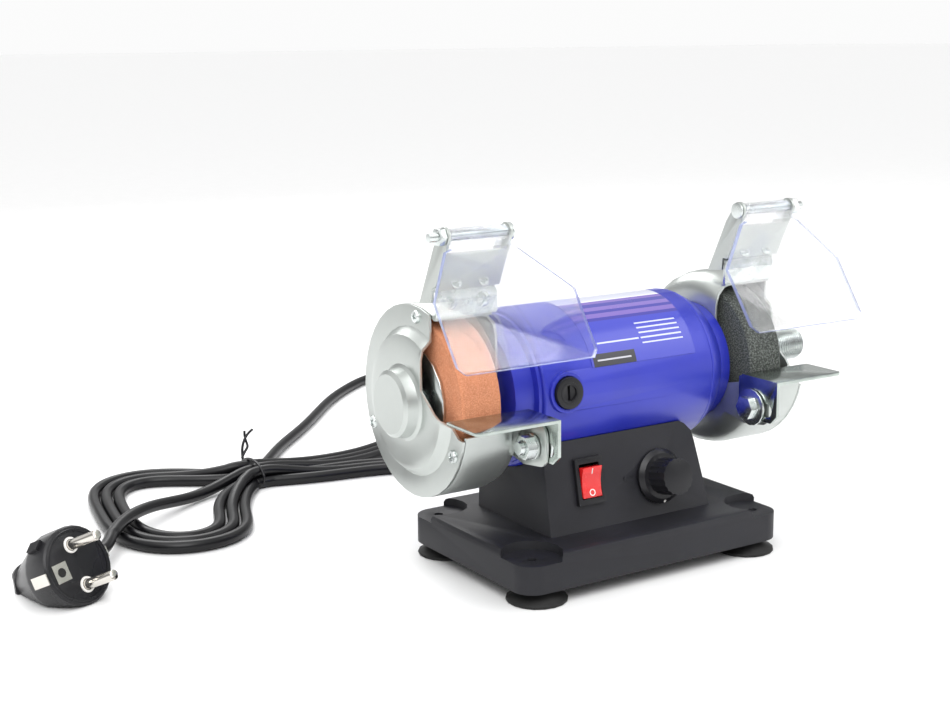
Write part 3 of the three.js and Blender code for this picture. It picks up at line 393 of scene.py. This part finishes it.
def rocker_marks():
    up = (Matrix.Rotation(ROCKER_TILT, 3, "X") @ FRONT_UP).normalized()
    out = (Matrix.Rotation(ROCKER_TILT, 3, "X") @ FRONT_OUT).normalized()
    pivot = on_front(SWITCH_X, SWITCH_Z, 0.6)
    high_spot = pivot + up * 5.1 * MM + out * 2.62 * MM
    tilted, risen = out * 0.97 - up * 0.2425, up * 0.97 + out * 0.2425
    points, faces = block(high_spot, tilted, (1, 0, 0), risen, (0.5, 2.8, 0.12))
    add_mesh("rocker_mark_on", points, faces, "white", "rocker")
    low_spot = pivot - up * 5.0 * MM + out * 2.6 * MM
    tilted = out * 0.97 + up * 0.2425
    points, faces = lathe([(0, 1.15), (0.14, 1.15), (0.14, 1.6), (0, 1.6), (0, 1.15)], low_spot, tilted, 32)
    add_mesh("rocker_mark_off", points, faces, "white", "rocker")


rocker_marks()


def knob_dot():
    spot = on_front(KNOB_X, KNOB_Z, 2.75) - FRONT_UP * 11.9 * MM
    direction = (FRONT_OUT * 0.8 - FRONT_UP * 0.6).normalized()
    profile = [(-0.5, 0.001), (-0.5, 0.65), (0.35, 0.65), (0.42, 0.4), (0.42, 0.001)]
    points, faces = lathe(profile, spot, direction, 16)
    add_mesh("knob_pointer_dot", points, faces, "white", "knob")


knob_dot()


def brush_cap_details():
    for name, side in (("front", -1), ("rear", 1)):
        out = Vector((0, side * math.cos(BRUSH_TILT), -side * math.sin(BRUSH_TILT)))
        spot = place(BRUSH_X, SHAFT_Y, SHAFT_Z) + out * CAP_END * MM
        profile = [(-0.3, 4.0), (0.15, 4.2), (0.15, 4.9), (-0.3, 5.1), (-0.3, 4.0)]
        points, faces = lathe(profile, spot, out, 32)
        add_mesh(name + "_brush_cap_ring", points, faces, "black_gloss", "frame")


brush_cap_details()


def label_material():
    """A printed rating plate with no lettering: a pale head band, lilac bands and thin rules."""
    made = material("label", (0.03, 0.05, 0.5), 0.25, 0, 0.02, 900, 0.02, 0.02, coat=0.3)
    tree = made.node_tree
    shader = tree.nodes["Principled BSDF"]
    link = tree.links.new
    where = tree.nodes.new("ShaderNodeUVMap")
    where.uv_map = "plate"
    split = tree.nodes.new("ShaderNodeSeparateXYZ")
    link(where.outputs["UV"], split.inputs["Vector"])
    ramp = tree.nodes.new("ShaderNodeValToRGB")
    ramp.color_ramp.interpolation = "CONSTANT"
    deep, lilac, mid = (0.035, 0.03, 0.3), (0.17, 0.11, 0.42), (0.04, 0.05, 0.45)
    pale, rule = (0.62, 0.64, 0.75), (0.8, 0.8, 0.86)
    stops = [(0.0, mid), (0.46, deep), (0.5, lilac), (0.555, deep), (0.6, lilac),
             (0.66, deep), (0.72, lilac), (0.775, rule), (0.795, pale)]
    ramp.color_ramp.elements[0].position = 0.0
    ramp.color_ramp.elements[0].color = [*stops[0][1], 1]
    ramp.color_ramp.elements[1].position = stops[1][0]
    ramp.color_ramp.elements[1].color = [*stops[1][1], 1]
    for position, color in stops[2:]:
        element = ramp.color_ramp.elements.new(position)
        element.color = [*color, 1]
    link(split.outputs["Y"], ramp.inputs["Fac"])

    def math_node(kind, a, b):
        node = tree.nodes.new("ShaderNodeMath")
        node.operation = kind
        for i, value in enumerate((a, b)):
            if isinstance(value, (int, float)):
                node.inputs[i].default_value = value
            else:
                link(value, node.inputs[i])
        return node.outputs[0]

    def inside(u0, u1, v0, v1):
        x, y = split.outputs["X"], split.outputs["Y"]
        wide = math_node("MULTIPLY", math_node("GREATER_THAN", x, u0), math_node("LESS_THAN", x, u1))
        tall = math_node("MULTIPLY", math_node("GREATER_THAN", y, v0), math_node("LESS_THAN", y, v1))
        return math_node("MULTIPLY", wide, tall)

    def painted(under, mask, color):
        node = tree.nodes.new("ShaderNodeMix")
        node.data_type = "RGBA"
        link(mask, node.inputs[0])
        link(under, node.inputs[6])
        node.inputs[7].default_value = [*color, 1]
        return node.outputs[2]

    rows = math_node("MULTIPLY", split.outputs["Y"], 19)
    rules = math_node("LESS_THAN", math_node("FRACT", rows, 0), 0.3)
    color = ramp.outputs["Color"]
    for u0, u1, v0, v1 in ((0.52, 0.92, 0.16, 0.42), (0.1, 0.5, 0.2, 0.25), (0.12, 0.8, 0.8, 0.84)):
        color = painted(color, math_node("MULTIPLY", rules, inside(u0, u1, v0, v1)), (0.55, 0.58, 0.78))
    color = painted(color, inside(0.02, 0.42, 0.0, 0.12), (0.012, 0.012, 0.02))
    color = painted(color, inside(0.06, 0.38, 0.05, 0.065), (0.5, 0.5, 0.55))
    link(color, shader.inputs["Base Color"])
    return made


M["label"] = label_material()


def rating_plate():
    """A thin foil on the top front of the motor."""
    x0, x1, a0, a1 = -22.0, 38.5, 84.0, 161.0
    columns, rows = 12, 40
    points, faces, corners = [], [], []
    for radius in (37.12, 37.28):
        for r in range(rows + 1):
            a = math.radians(a0 + (a1 - a0) * r / rows)
            for c in range(columns + 1):
                x = x0 + (x1 - x0) * c / columns
                points.append(place(x, SHAFT_Y + radius * math.cos(a), SHAFT_Z + radius * math.sin(a)))
                corners.append((c / columns, 1 - r / rows))
    layer = (rows + 1) * (columns + 1)
    at = lambda k, r, c: k * layer + r * (columns + 1) + c
    for r in range(rows):
        for c in range(columns):
            faces.append([at(1, r, c), at(1, r, c + 1), at(1, r + 1, c + 1), at(1, r + 1, c)])
            faces.append([at(0, r, c), at(0, r + 1, c), at(0, r + 1, c + 1), at(0, r, c + 1)])
    for r in range(rows):
        for c in (0, columns):
            faces.append([at(0, r, c), at(1, r, c), at(1, r + 1, c), at(0, r + 1, c)])
    for c in range(columns):
        for r in (0, rows):
            faces.append([at(0, r, c), at(1, r, c), at(1, r, c + 1), at(0, r, c + 1)])
    mesh = bpy.data.meshes.new("rating_plate")
    mesh.from_pydata([tuple(p) for p in points], [], faces)
    plate = mesh.uv_layers.new(name="plate")
    for loop in mesh.loops:
        plate.data[loop.index].uv = corners[loop.vertex_index]
    mesh.materials.append(M["label"])
    work = bmesh.new()
    work.from_mesh(mesh)
    bmesh.ops.recalc_face_normals(work, faces=work.faces)
    work.to_mesh(mesh)
    work.free()
    for face in mesh.polygons:
        face.use_smooth = True
    mesh.set_sharp_from_angle(angle=math.radians(35))
    piece = bpy.data.objects.new("rating_plate", mesh)
    bpy.context.scene.collection.objects.link(piece)
    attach(piece, "frame")


rating_plate()


def threaded_collar():
    """The flexible-shaft collar with its helical thread cut in."""
    pitch, start, end = 1.25, 117.2, 136.0
    outer, root, bore = 8.2, 7.35, 6.0
    steps, rows = 48, 120
    points, faces = [], []
    profile = [(113.6, bore), (113.6, 10.3), (113.9, 10.5), (116.3, 10.5), (116.6, 10.2), (116.6, root)]
    for x, r in profile:
        for i in range(steps):
            a = 2 * math.pi * i / steps
            points.append(place(x, SHAFT_Y + r * math.cos(a), SHAFT_Z + r * math.sin(a)))
    for k in range(rows + 1):
        x = start + (end - start) * k / rows
        for i in range(steps):
            a = 2 * math.pi * i / steps
            phase = ((x - start) / pitch + i / steps) % 1
            tooth = 1 - abs(2 * phase - 1)
            fade = min(1, (end - x) / 1.2)
            r = root + (outer - root) * tooth * max(0.15, fade)
            points.append(place(x, SHAFT_Y + r * math.cos(a), SHAFT_Z + r * math.sin(a)))
    for x, r in ((136.5, root), (136.5, bore), (113.6, bore)):
        for i in range(steps):
            a = 2 * math.pi * i / steps
            points.append(place(x, SHAFT_Y + r * math.cos(a), SHAFT_Z + r * math.sin(a)))
    rings = len(points) // steps
    for k in range(rings - 1):
        for i in range(steps):
            j = (i + 1) % steps
            faces.append([k * steps + i, k * steps + j, (k + 1) * steps + j, (k + 1) * steps + i])
    piece = add_mesh("flex_shaft_threaded_collar", points, faces, "zinc", "frame")
    # Faces at the thread roots take the dark iron colour: painted shade in the grooves of the thread.
    piece.data.materials.append(M["iron"])
    axis = place(0, SHAFT_Y, SHAFT_Z)
    for face in piece.data.polygons:
        reach = math.hypot(face.center.y - axis.y, face.center.z - axis.z) / MM
        along = (face.center.x - axis.x) / MM
        if bore + 0.5 < reach < root + 0.3 and start < along < end:
            face.material_index = 1
    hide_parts("flex_shaft_collar")


threaded_collar()


# ---- cord ----
def smooth_path(points, per_span):
    """A Catmull-Rom line through the points with centripetal spacing."""
    pts = [Vector(p) for p in points]
    pts = [2 * pts[0] - pts[1], *pts, 2 * pts[-1] - pts[-2]]
    line = []
    for i in range(1, len(pts) - 2):
        p0, p1, p2, p3 = pts[i - 1], pts[i], pts[i + 1], pts[i + 2]
        t0 = 0.0
        t1 = t0 + (p1 - p0).length ** 0.5
        t2 = t1 + (p2 - p1).length ** 0.5
        t3 = t2 + (p3 - p2).length ** 0.5
        for k in range(per_span):
            t = t1 + (t2 - t1) * k / per_span
            a1 = p0 * ((t1 - t) / (t1 - t0)) + p1 * ((t - t0) / (t1 - t0))
            a2 = p1 * ((t2 - t) / (t2 - t1)) + p2 * ((t - t1) / (t2 - t1))
            a3 = p2 * ((t3 - t) / (t3 - t2)) + p3 * ((t - t2) / (t3 - t2))
            b1 = a1 * ((t2 - t) / (t2 - t0)) + a2 * ((t - t0) / (t2 - t0))
            b2 = a2 * ((t3 - t) / (t3 - t1)) + a3 * ((t - t1) / (t3 - t1))
            line.append(b1 * ((t2 - t) / (t2 - t1)) + b2 * ((t - t1) / (t2 - t1)))
    line.append(pts[-2])
    return line


CORD_R = 3.1
TIE = (-91.0, 199.0)
LIFT = 1.3


def plug_point(along, line, side):
    out = PIN_AXIS.cross(PIN_LINE)
    return PLUG + PIN_AXIS * along + PIN_LINE * line + out * side


def cord_points():
    r = CORD_R
    lead = [(20, 74.3, 14.5), (20, 79, 14.5), (21.5, 88, 13.2), (26, 101, 9.6), (38, 120, 6), (58, 142, 4),
            (84, 163, r), (112, 190, r), (138, 224, r), (158, 262, r), (168, 302, r), (166, 340, r),
            (154, 370, r), (134, 390, r), (108, 396, r), (82, 386, r), (58, 368, r), (34, 346, r),
            (10, 318, r), (-11, 293, r), (-31, 271, r), (-52, 249, r), (-66, 232, r), (-78, 217.5, r + 0.5)]
    bottom, top = r + LIFT, r + LIFT + 5.6
    knot = {"L3": (-9.6, bottom), "L2": (-6.4, top), "L1": (-3.2, bottom), "M": (0, top),
            "U1": (3.2, bottom), "U2": (6.4, top), "U3": (9.6, bottom)}
    neck = {"L3": (170, r), "L2": (179.3, 4.5), "L1": (187.6, r), "M": (195.2, 5.2), "U1": (202.4, r),
            "U2": (210.2, 4.5), "U3": (219.5, r)}
    right = {
        -75: (197.5, {"L3": (-14.5, r), "L2": (-8.6, 5.8), "L1": (-2.7, r + 0.1), "M": (2.2, 7.3),
                      "U1": (7.3, r), "U2": (13.3, 5.6)}),
        -58: (196, {"L3": (-17, r), "L2": (-10.4, r), "L1": (-3.8, r), "M": (3.0, 3.6), "U1": (9.8, r),
                    "U2": (16.6, r)}),
        -38: (194.3, {"L3": (-17, r), "L2": (-10.3, r), "L1": (-3.7, r), "M": (3.3, r), "U1": (10, r),
                      "U2": (16.8, r)}),
        -16: (192.3, {"L3": (-19, r), "L2": (-12.3, r), "L1": (-5.6, r), "M": (5.6, r), "U1": (12.3, r),
                      "U2": (19, r)}),
        5: (191.3, {"L3": (-30, r), "L2": (-23.4, r), "L1": (-16.6, r), "M": (16.6, r), "U1": (23.4, r),
                    "U2": (30, r)}),
        25: (191, {"L3": (-35.2, r), "L2": (-28.7, r), "L1": (-22.2, r), "M": (22.2, r), "U1": (28.7, r),
                   "U2": (35.2, r)}),
    }
    fold_radius = {"L3": 35.2, "L2": 28.7, "L1": 22.2}

    def at_tie(key):
        offset, z = knot[key]
        return (TIE[0], TIE[1] + offset, z)

    def at_neck(key):
        y, z = neck[key]
        return (-105.5, y, z)

    def rightward(key):
        return [(x, c + row[key][0], row[key][1]) for x, (c, row) in sorted(right.items())]

    def arc_of(x, y, radius, angles):
        turns = [math.radians(a) for a in angles]
        return [(x + radius * math.cos(a), y + radius * math.sin(a), r) for a in turns]

    def loop(inset, key_in, key_out):
        top = arc_of(-146, 209, 32 - inset, (72, 95, 118, 141, 162))
        side = [(-184 + inset, 186, r), (-188.7 + inset, 160, r)]
        bottom = arc_of(-156.5, 138, 33 - inset, (180, 205, 230, 255, 280, 305, 328))
        ring = [*top, *side, *bottom, (-121 - 0.9 * inset, 146 + 0.6 * inset, r)]
        return [at_tie(key_in), at_neck(key_in), *ring, at_neck(key_out), at_tie(key_out)]

    def fold(key_in, key_out):
        radius = fold_radius[key_in]
        arc = []
        for i in range(1, 8):
            a = -math.pi / 2 + math.pi * i / 8
            arc.append((25 + radius * math.cos(a), 191 + radius * math.sin(a), r))
        return [*rightward(key_in), *arc, *reversed(rightward(key_out))]

    path = [*lead, *loop(0, "U3", "L3"), *fold("L3", "U2"), *loop(6.6, "U2", "L2"), *fold("L2", "U1"),
            *loop(13.2, "U1", "L1"), *fold("L1", "M"), at_tie("M"), at_neck("M")]
    boss = plug_point(-26, 0, 27.2)
    heading = PIN_AXIS.cross(PIN_LINE)
    path += [(-120, 188.5, r), (-136, 180, 3.8), (-150, 172, 6.2), (-163, 163.5, 9.2), (-176, 154, 9.7),
             (-187.5, 143, 9.7), (-196.5, 130.5, 9.5), (-202.8, 118.5, 9.1),
             tuple(boss + heading * 9), tuple(boss)]
    return path


def evenly_spaced(line, step):
    spaced, left = [line[0]], step
    for a, b in zip(line, line[1:]):
        span = (b - a).length
        while span >= left:
            a = a + (b - a) * (left / span)
            spaced.append(a)
            span, left = (b - a).length, step
        left -= span
    return spaced


def settled(points):
    """Lets the stiff cord ease its bends while its strands keep each other and the floor at bay."""
    step, rounds, stiffness, home_pull = 4.0, 26, 7, 0.06
    contact, tie_half_width = 2 * CORD_R + 0.12, 11
    line = evenly_spaced(smooth_path(points, 8), step)
    line[-1] = Vector(points[-1])
    p = np.array([tuple(v) for v in line])
    home, count = p.copy(), len(p)
    apart = np.abs(np.subtract.outer(np.arange(count), np.arange(count))) > 10
    free = np.clip(np.minimum(np.arange(count) - 8, count - 1 - np.arange(count) - 7) / 5, 0, 1)[:, None]
    bend = np.zeros((count, count))
    for i in range(1, count - 1):
        bend[i, i - 1:i + 2] = (1, -2, 1)
    ease = np.linalg.inv(np.eye(count) + stiffness * bend.T @ bend)
    tied = (np.abs(home[:, 0] - TIE[0]) < 7) & (np.abs(home[:, 1] - TIE[1]) < 24)
    for _ in range(rounds):
        p += (ease @ p - p) * free
        p += home_pull * (home - p) * free
        for _ in range(6):
            held = TIE[1] + np.clip(p[tied, 1] - TIE[1], -tie_half_width, tie_half_width)
            p[tied, 1] += 0.35 * (held - p[tied, 1])
            gap = p[:, None, :] - p[None, :, :]
            reach = np.sqrt((gap ** 2).sum(2)) + 1e-9
            close = np.where(apart & (reach < contact), (contact - reach) / reach, 0)
            p += 0.3 * np.clip((gap * close[:, :, None]).sum(1), -2, 2) * free
            p[:, 2] = np.maximum(p[:, 2], CORD_R + 0.03)
    return [Vector(v) for v in p]


def add_cord():
    route = settled(cord_points())
    line = [place(p.x, p.y, max(p.z, CORD_R + 0.02)) for p in smooth_path(route, 3)]
    curve = bpy.data.curves.new("mains_cord", "CURVE")
    curve.dimensions = "3D"
    curve.bevel_depth = CORD_R * MM
    curve.bevel_resolution = 5
    curve.use_fill_caps = True
    spline = curve.splines.new("POLY")
    spline.points.add(len(line) - 1)
    for point, where in zip(spline.points, line):
        point.co = (*where, 1)
    curve.materials.append(M["cord"])
    piece = bpy.data.objects.new("mains_cord", curve)
    bpy.context.scene.collection.objects.link(piece)
    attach(piece, "frame")
    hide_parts("cord_lead", "cord_hank", "cord_tail")
    length = sum((b - a).length for a, b in zip(line, line[1:]))
    return piece, line[0], length, route


cord, cord_exit, cord_length, cord_route = add_cord()


def tube(name, points, radius, key):
    curve = bpy.data.curves.new(name, "CURVE")
    curve.dimensions = "3D"
    curve.bevel_depth = radius * MM
    curve.bevel_resolution = 3
    curve.use_fill_caps = True
    line = [place(p.x, p.y, max(p.z, radius)) for p in smooth_path(points, 6)]
    spline = curve.splines.new("POLY")
    spline.points.add(len(line) - 1)
    for point, where in zip(spline.points, line):
        point.co = (*where, 1)
    curve.materials.append(M[key])
    piece = bpy.data.objects.new(name, curve)
    bpy.context.scene.collection.objects.link(piece)
    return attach(piece, "frame")


def twist_tie():
    x = TIE[0]
    inside = [p for p in cord_route if abs(p.x - x) < 3 and abs(p.y - TIE[1]) < 24]
    low, high = min(p.y for p in inside), max(p.y for p in inside)
    y, w = (low + high) / 2, (high - low) / 2 + CORD_R + 1
    t = max(p.z for p in inside) + CORD_R + 0.4
    loop = [(x + 1, y + w, 7), (x + 0.5, y + w - 3.2, 1.7), (x, y + 6, 0.75), (x, y - 6, 0.75),
            (x, y - w + 3.2, 1.7), (x, y - w, 7), (x, y - w + 2.2, 0.8 * t),
            (x + 0.3, y - 0.45 * w, t), (x + 0.6, y, t + 0.7),
            (x + 1, y + 0.45 * w, t), (x + 1, y + w - 2, 0.85 * t), (x + 1, y + w + 1, 8.5)]
    ring = tube("twist_tie_loop", loop, 0.75, "black_gloss")
    ends = []
    for k in (0, 1):
        twist = []
        for i in range(9):
            s = i / 8
            turn = (1 - s) * 5 + k * math.pi
            gap = 0.85 + 1.6 * s
            along = x + 1 + 7 * s + gap * math.cos(turn)
            twist.append((along, y + w + 1 + 6 * s, 10 + 15 * s + gap * math.sin(turn)))
        ends.append(tube(f"twist_tie_end_{k + 1}", twist, 0.75, "black_gloss"))
    return [ring, *ends]


tie = twist_tie()


def plug_details():
    made = []
    out = PIN_AXIS.cross(PIN_LINE)
    for i, side in enumerate((-1, 1)):
        spot = place(*plug_point(0, side * 9.5, 0))
        profile = [(-0.4, 2.6), (0.5, 2.7), (0.5, 3.6), (-0.4, 3.8), (-0.4, 2.6)]
        points, faces = lathe(profile, spot, PIN_AXIS, 28)
        made.append(add_mesh(f"plug_pin_collar_{i + 1}", points, faces, "white", "frame"))
        spot = place(*plug_point(-5.8, 0, side * 17.7))
        points, faces = block(spot, out * side, PIN_AXIS, PIN_LINE, (10.5, 5.2, 0.6))
        made.append(add_mesh(f"plug_earth_clip_{i + 1}", points, faces, "nickel", "frame", angle=20))
    plug_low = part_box("mains_plug")[0]
    points, faces = lathe([(-34.5, 8.6), (-35.5, 9.8), (-37.6, 9.4), (-38.2, 7)], place(*PLUG), PIN_AXIS, 40)
    points = [Vector((max(v.x, plug_low.x), v.y, max(v.z, plug_low.z))) for v in points]
    made.append(add_mesh("plug_rear_lip", points, faces, "black_gloss", "frame"))
    upper_left = (-0.8 * PIN_LINE - 0.6 * out).normalized()
    sideways = PIN_AXIS.cross(upper_left)
    spot = place(*PLUG) - PIN_AXIS * 9 * MM + upper_left * 17.6 * MM
    points, faces = block(spot, upper_left, sideways, PIN_AXIS, (5, 7, 2))
    made.append(add_mesh("plug_top_nub", points, faces, "black_gloss", "frame", angle=20))
    profile = [(-0.2, 15.2), (0.35, 15.4), (0.35, 16.4), (-0.2, 16.8)]
    points, faces = lathe(profile, place(*PLUG), PIN_AXIS, 48)
    made.append(add_mesh("plug_face_rim", points, faces, "black_gloss", "frame"))
    points, faces = block(place(*plug_point(0, 0, -10.5)), PIN_AXIS, out, PIN_LINE, (8, 8.5, 0.5))
    made.append(add_mesh("plug_earth_plate", points, faces, "nickel", "frame", angle=20))
    # A black disc on the earth plate: painted shade where the inside of the earth hole would be dark.
    profile = [(0.3, 0.001), (0.62, 0.001), (0.62, 2.1), (0.3, 2.1)]
    points, faces = lathe(profile, place(*plug_point(0, 0, -10.5)), PIN_AXIS, 24)
    made.append(add_mesh("plug_earth_hole_painted_shade", points, faces, "rubber", "frame"))
    return made


plug_pieces = plug_details()


def relief_rings():
    """Ribs of the bend relief where the cord leaves the base."""
    for i in range(6):
        y = 55 + i * 3
        r = 6.3 - (y - 53) * 0.11
        profile = [(-0.6, r - 0.8), (-0.5, r + 0.35), (0.5, r + 0.3), (0.6, r - 0.8)]
        points, faces = lathe(profile, place(20, y, 14.5), (0, 1, 0), 28)
        add_mesh(f"strain_relief_rib_{i + 1}", points, faces, "rubber", "frame")


relief_rings()


# ---- floor and light ----
def add_stage():
    bpy.context.scene.view_settings.view_transform = "Standard"
    bpy.ops.mesh.primitive_plane_add(size=60, location=(0, 0, -0.0002))
    floor = bpy.context.object
    floor.name = "floor"
    floor.data.materials.append(material("floor", (0.9, 0.9, 0.9), 0.6, 0, 0.01, 50, 0.02, 0.05))
    world = bpy.data.worlds.new("studio")
    bpy.context.scene.world = world
    world.use_nodes = True
    back = world.node_tree.nodes["Background"]
    where = world.node_tree.nodes.new("ShaderNodeTexCoord")
    split = world.node_tree.nodes.new("ShaderNodeSeparateXYZ")
    span = world.node_tree.nodes.new("ShaderNodeMapRange")
    span.inputs["From Min"].default_value = -1
    ramp = world.node_tree.nodes.new("ShaderNodeValToRGB")
    bands = ((0.0, 0.5), (0.5, 0.97), (0.53, 0.97), (0.58, 0.3), (0.7, 0.38), (0.8, 1.0), (1.0, 1.0))
    for position, level in bands[1:-1]:
        ramp.color_ramp.elements.new(position).color = (level, level, level, 1)
    ramp.color_ramp.elements[0].color = (0.5, 0.5, 0.5, 1)
    world.node_tree.links.new(where.outputs["Generated"], split.inputs["Vector"])
    world.node_tree.links.new(split.outputs["Z"], span.inputs["Value"])
    world.node_tree.links.new(span.outputs["Result"], ramp.inputs["Fac"])
    world.node_tree.links.new(ramp.outputs["Color"], back.inputs["Color"])
    back.inputs["Strength"].default_value = 1.0
    for name, spot, size, power in (
        ("key", (-0.7, -0.9, 1.1), 0.9, 9.0),
        ("fill", (0.9, -0.7, 0.8), 1.0, 5.0),
        ("rim", (0.1, 1.0, 0.9), 0.8, 7.0),
    ):
        data = bpy.data.lights.new(name, "AREA")
        data.size = size
        data.energy = power
        lamp = bpy.data.objects.new(name, data)
        bpy.context.scene.collection.objects.link(lamp)
        lamp.location = spot
        lamp.rotation_euler = (Vector((0, 0, 0.06)) - Vector(spot)).to_track_quat("-Z", "Y").to_euler()
    sun = bpy.data.lights.new("sky_top", "SUN")
    sun.energy = 0.85
    sun.angle = math.radians(50)
    above = bpy.data.objects.new("sky_top", sun)
    bpy.context.scene.collection.objects.link(above)
    above.rotation_euler = (math.radians(12), math.radians(-14), 0)


add_stage()
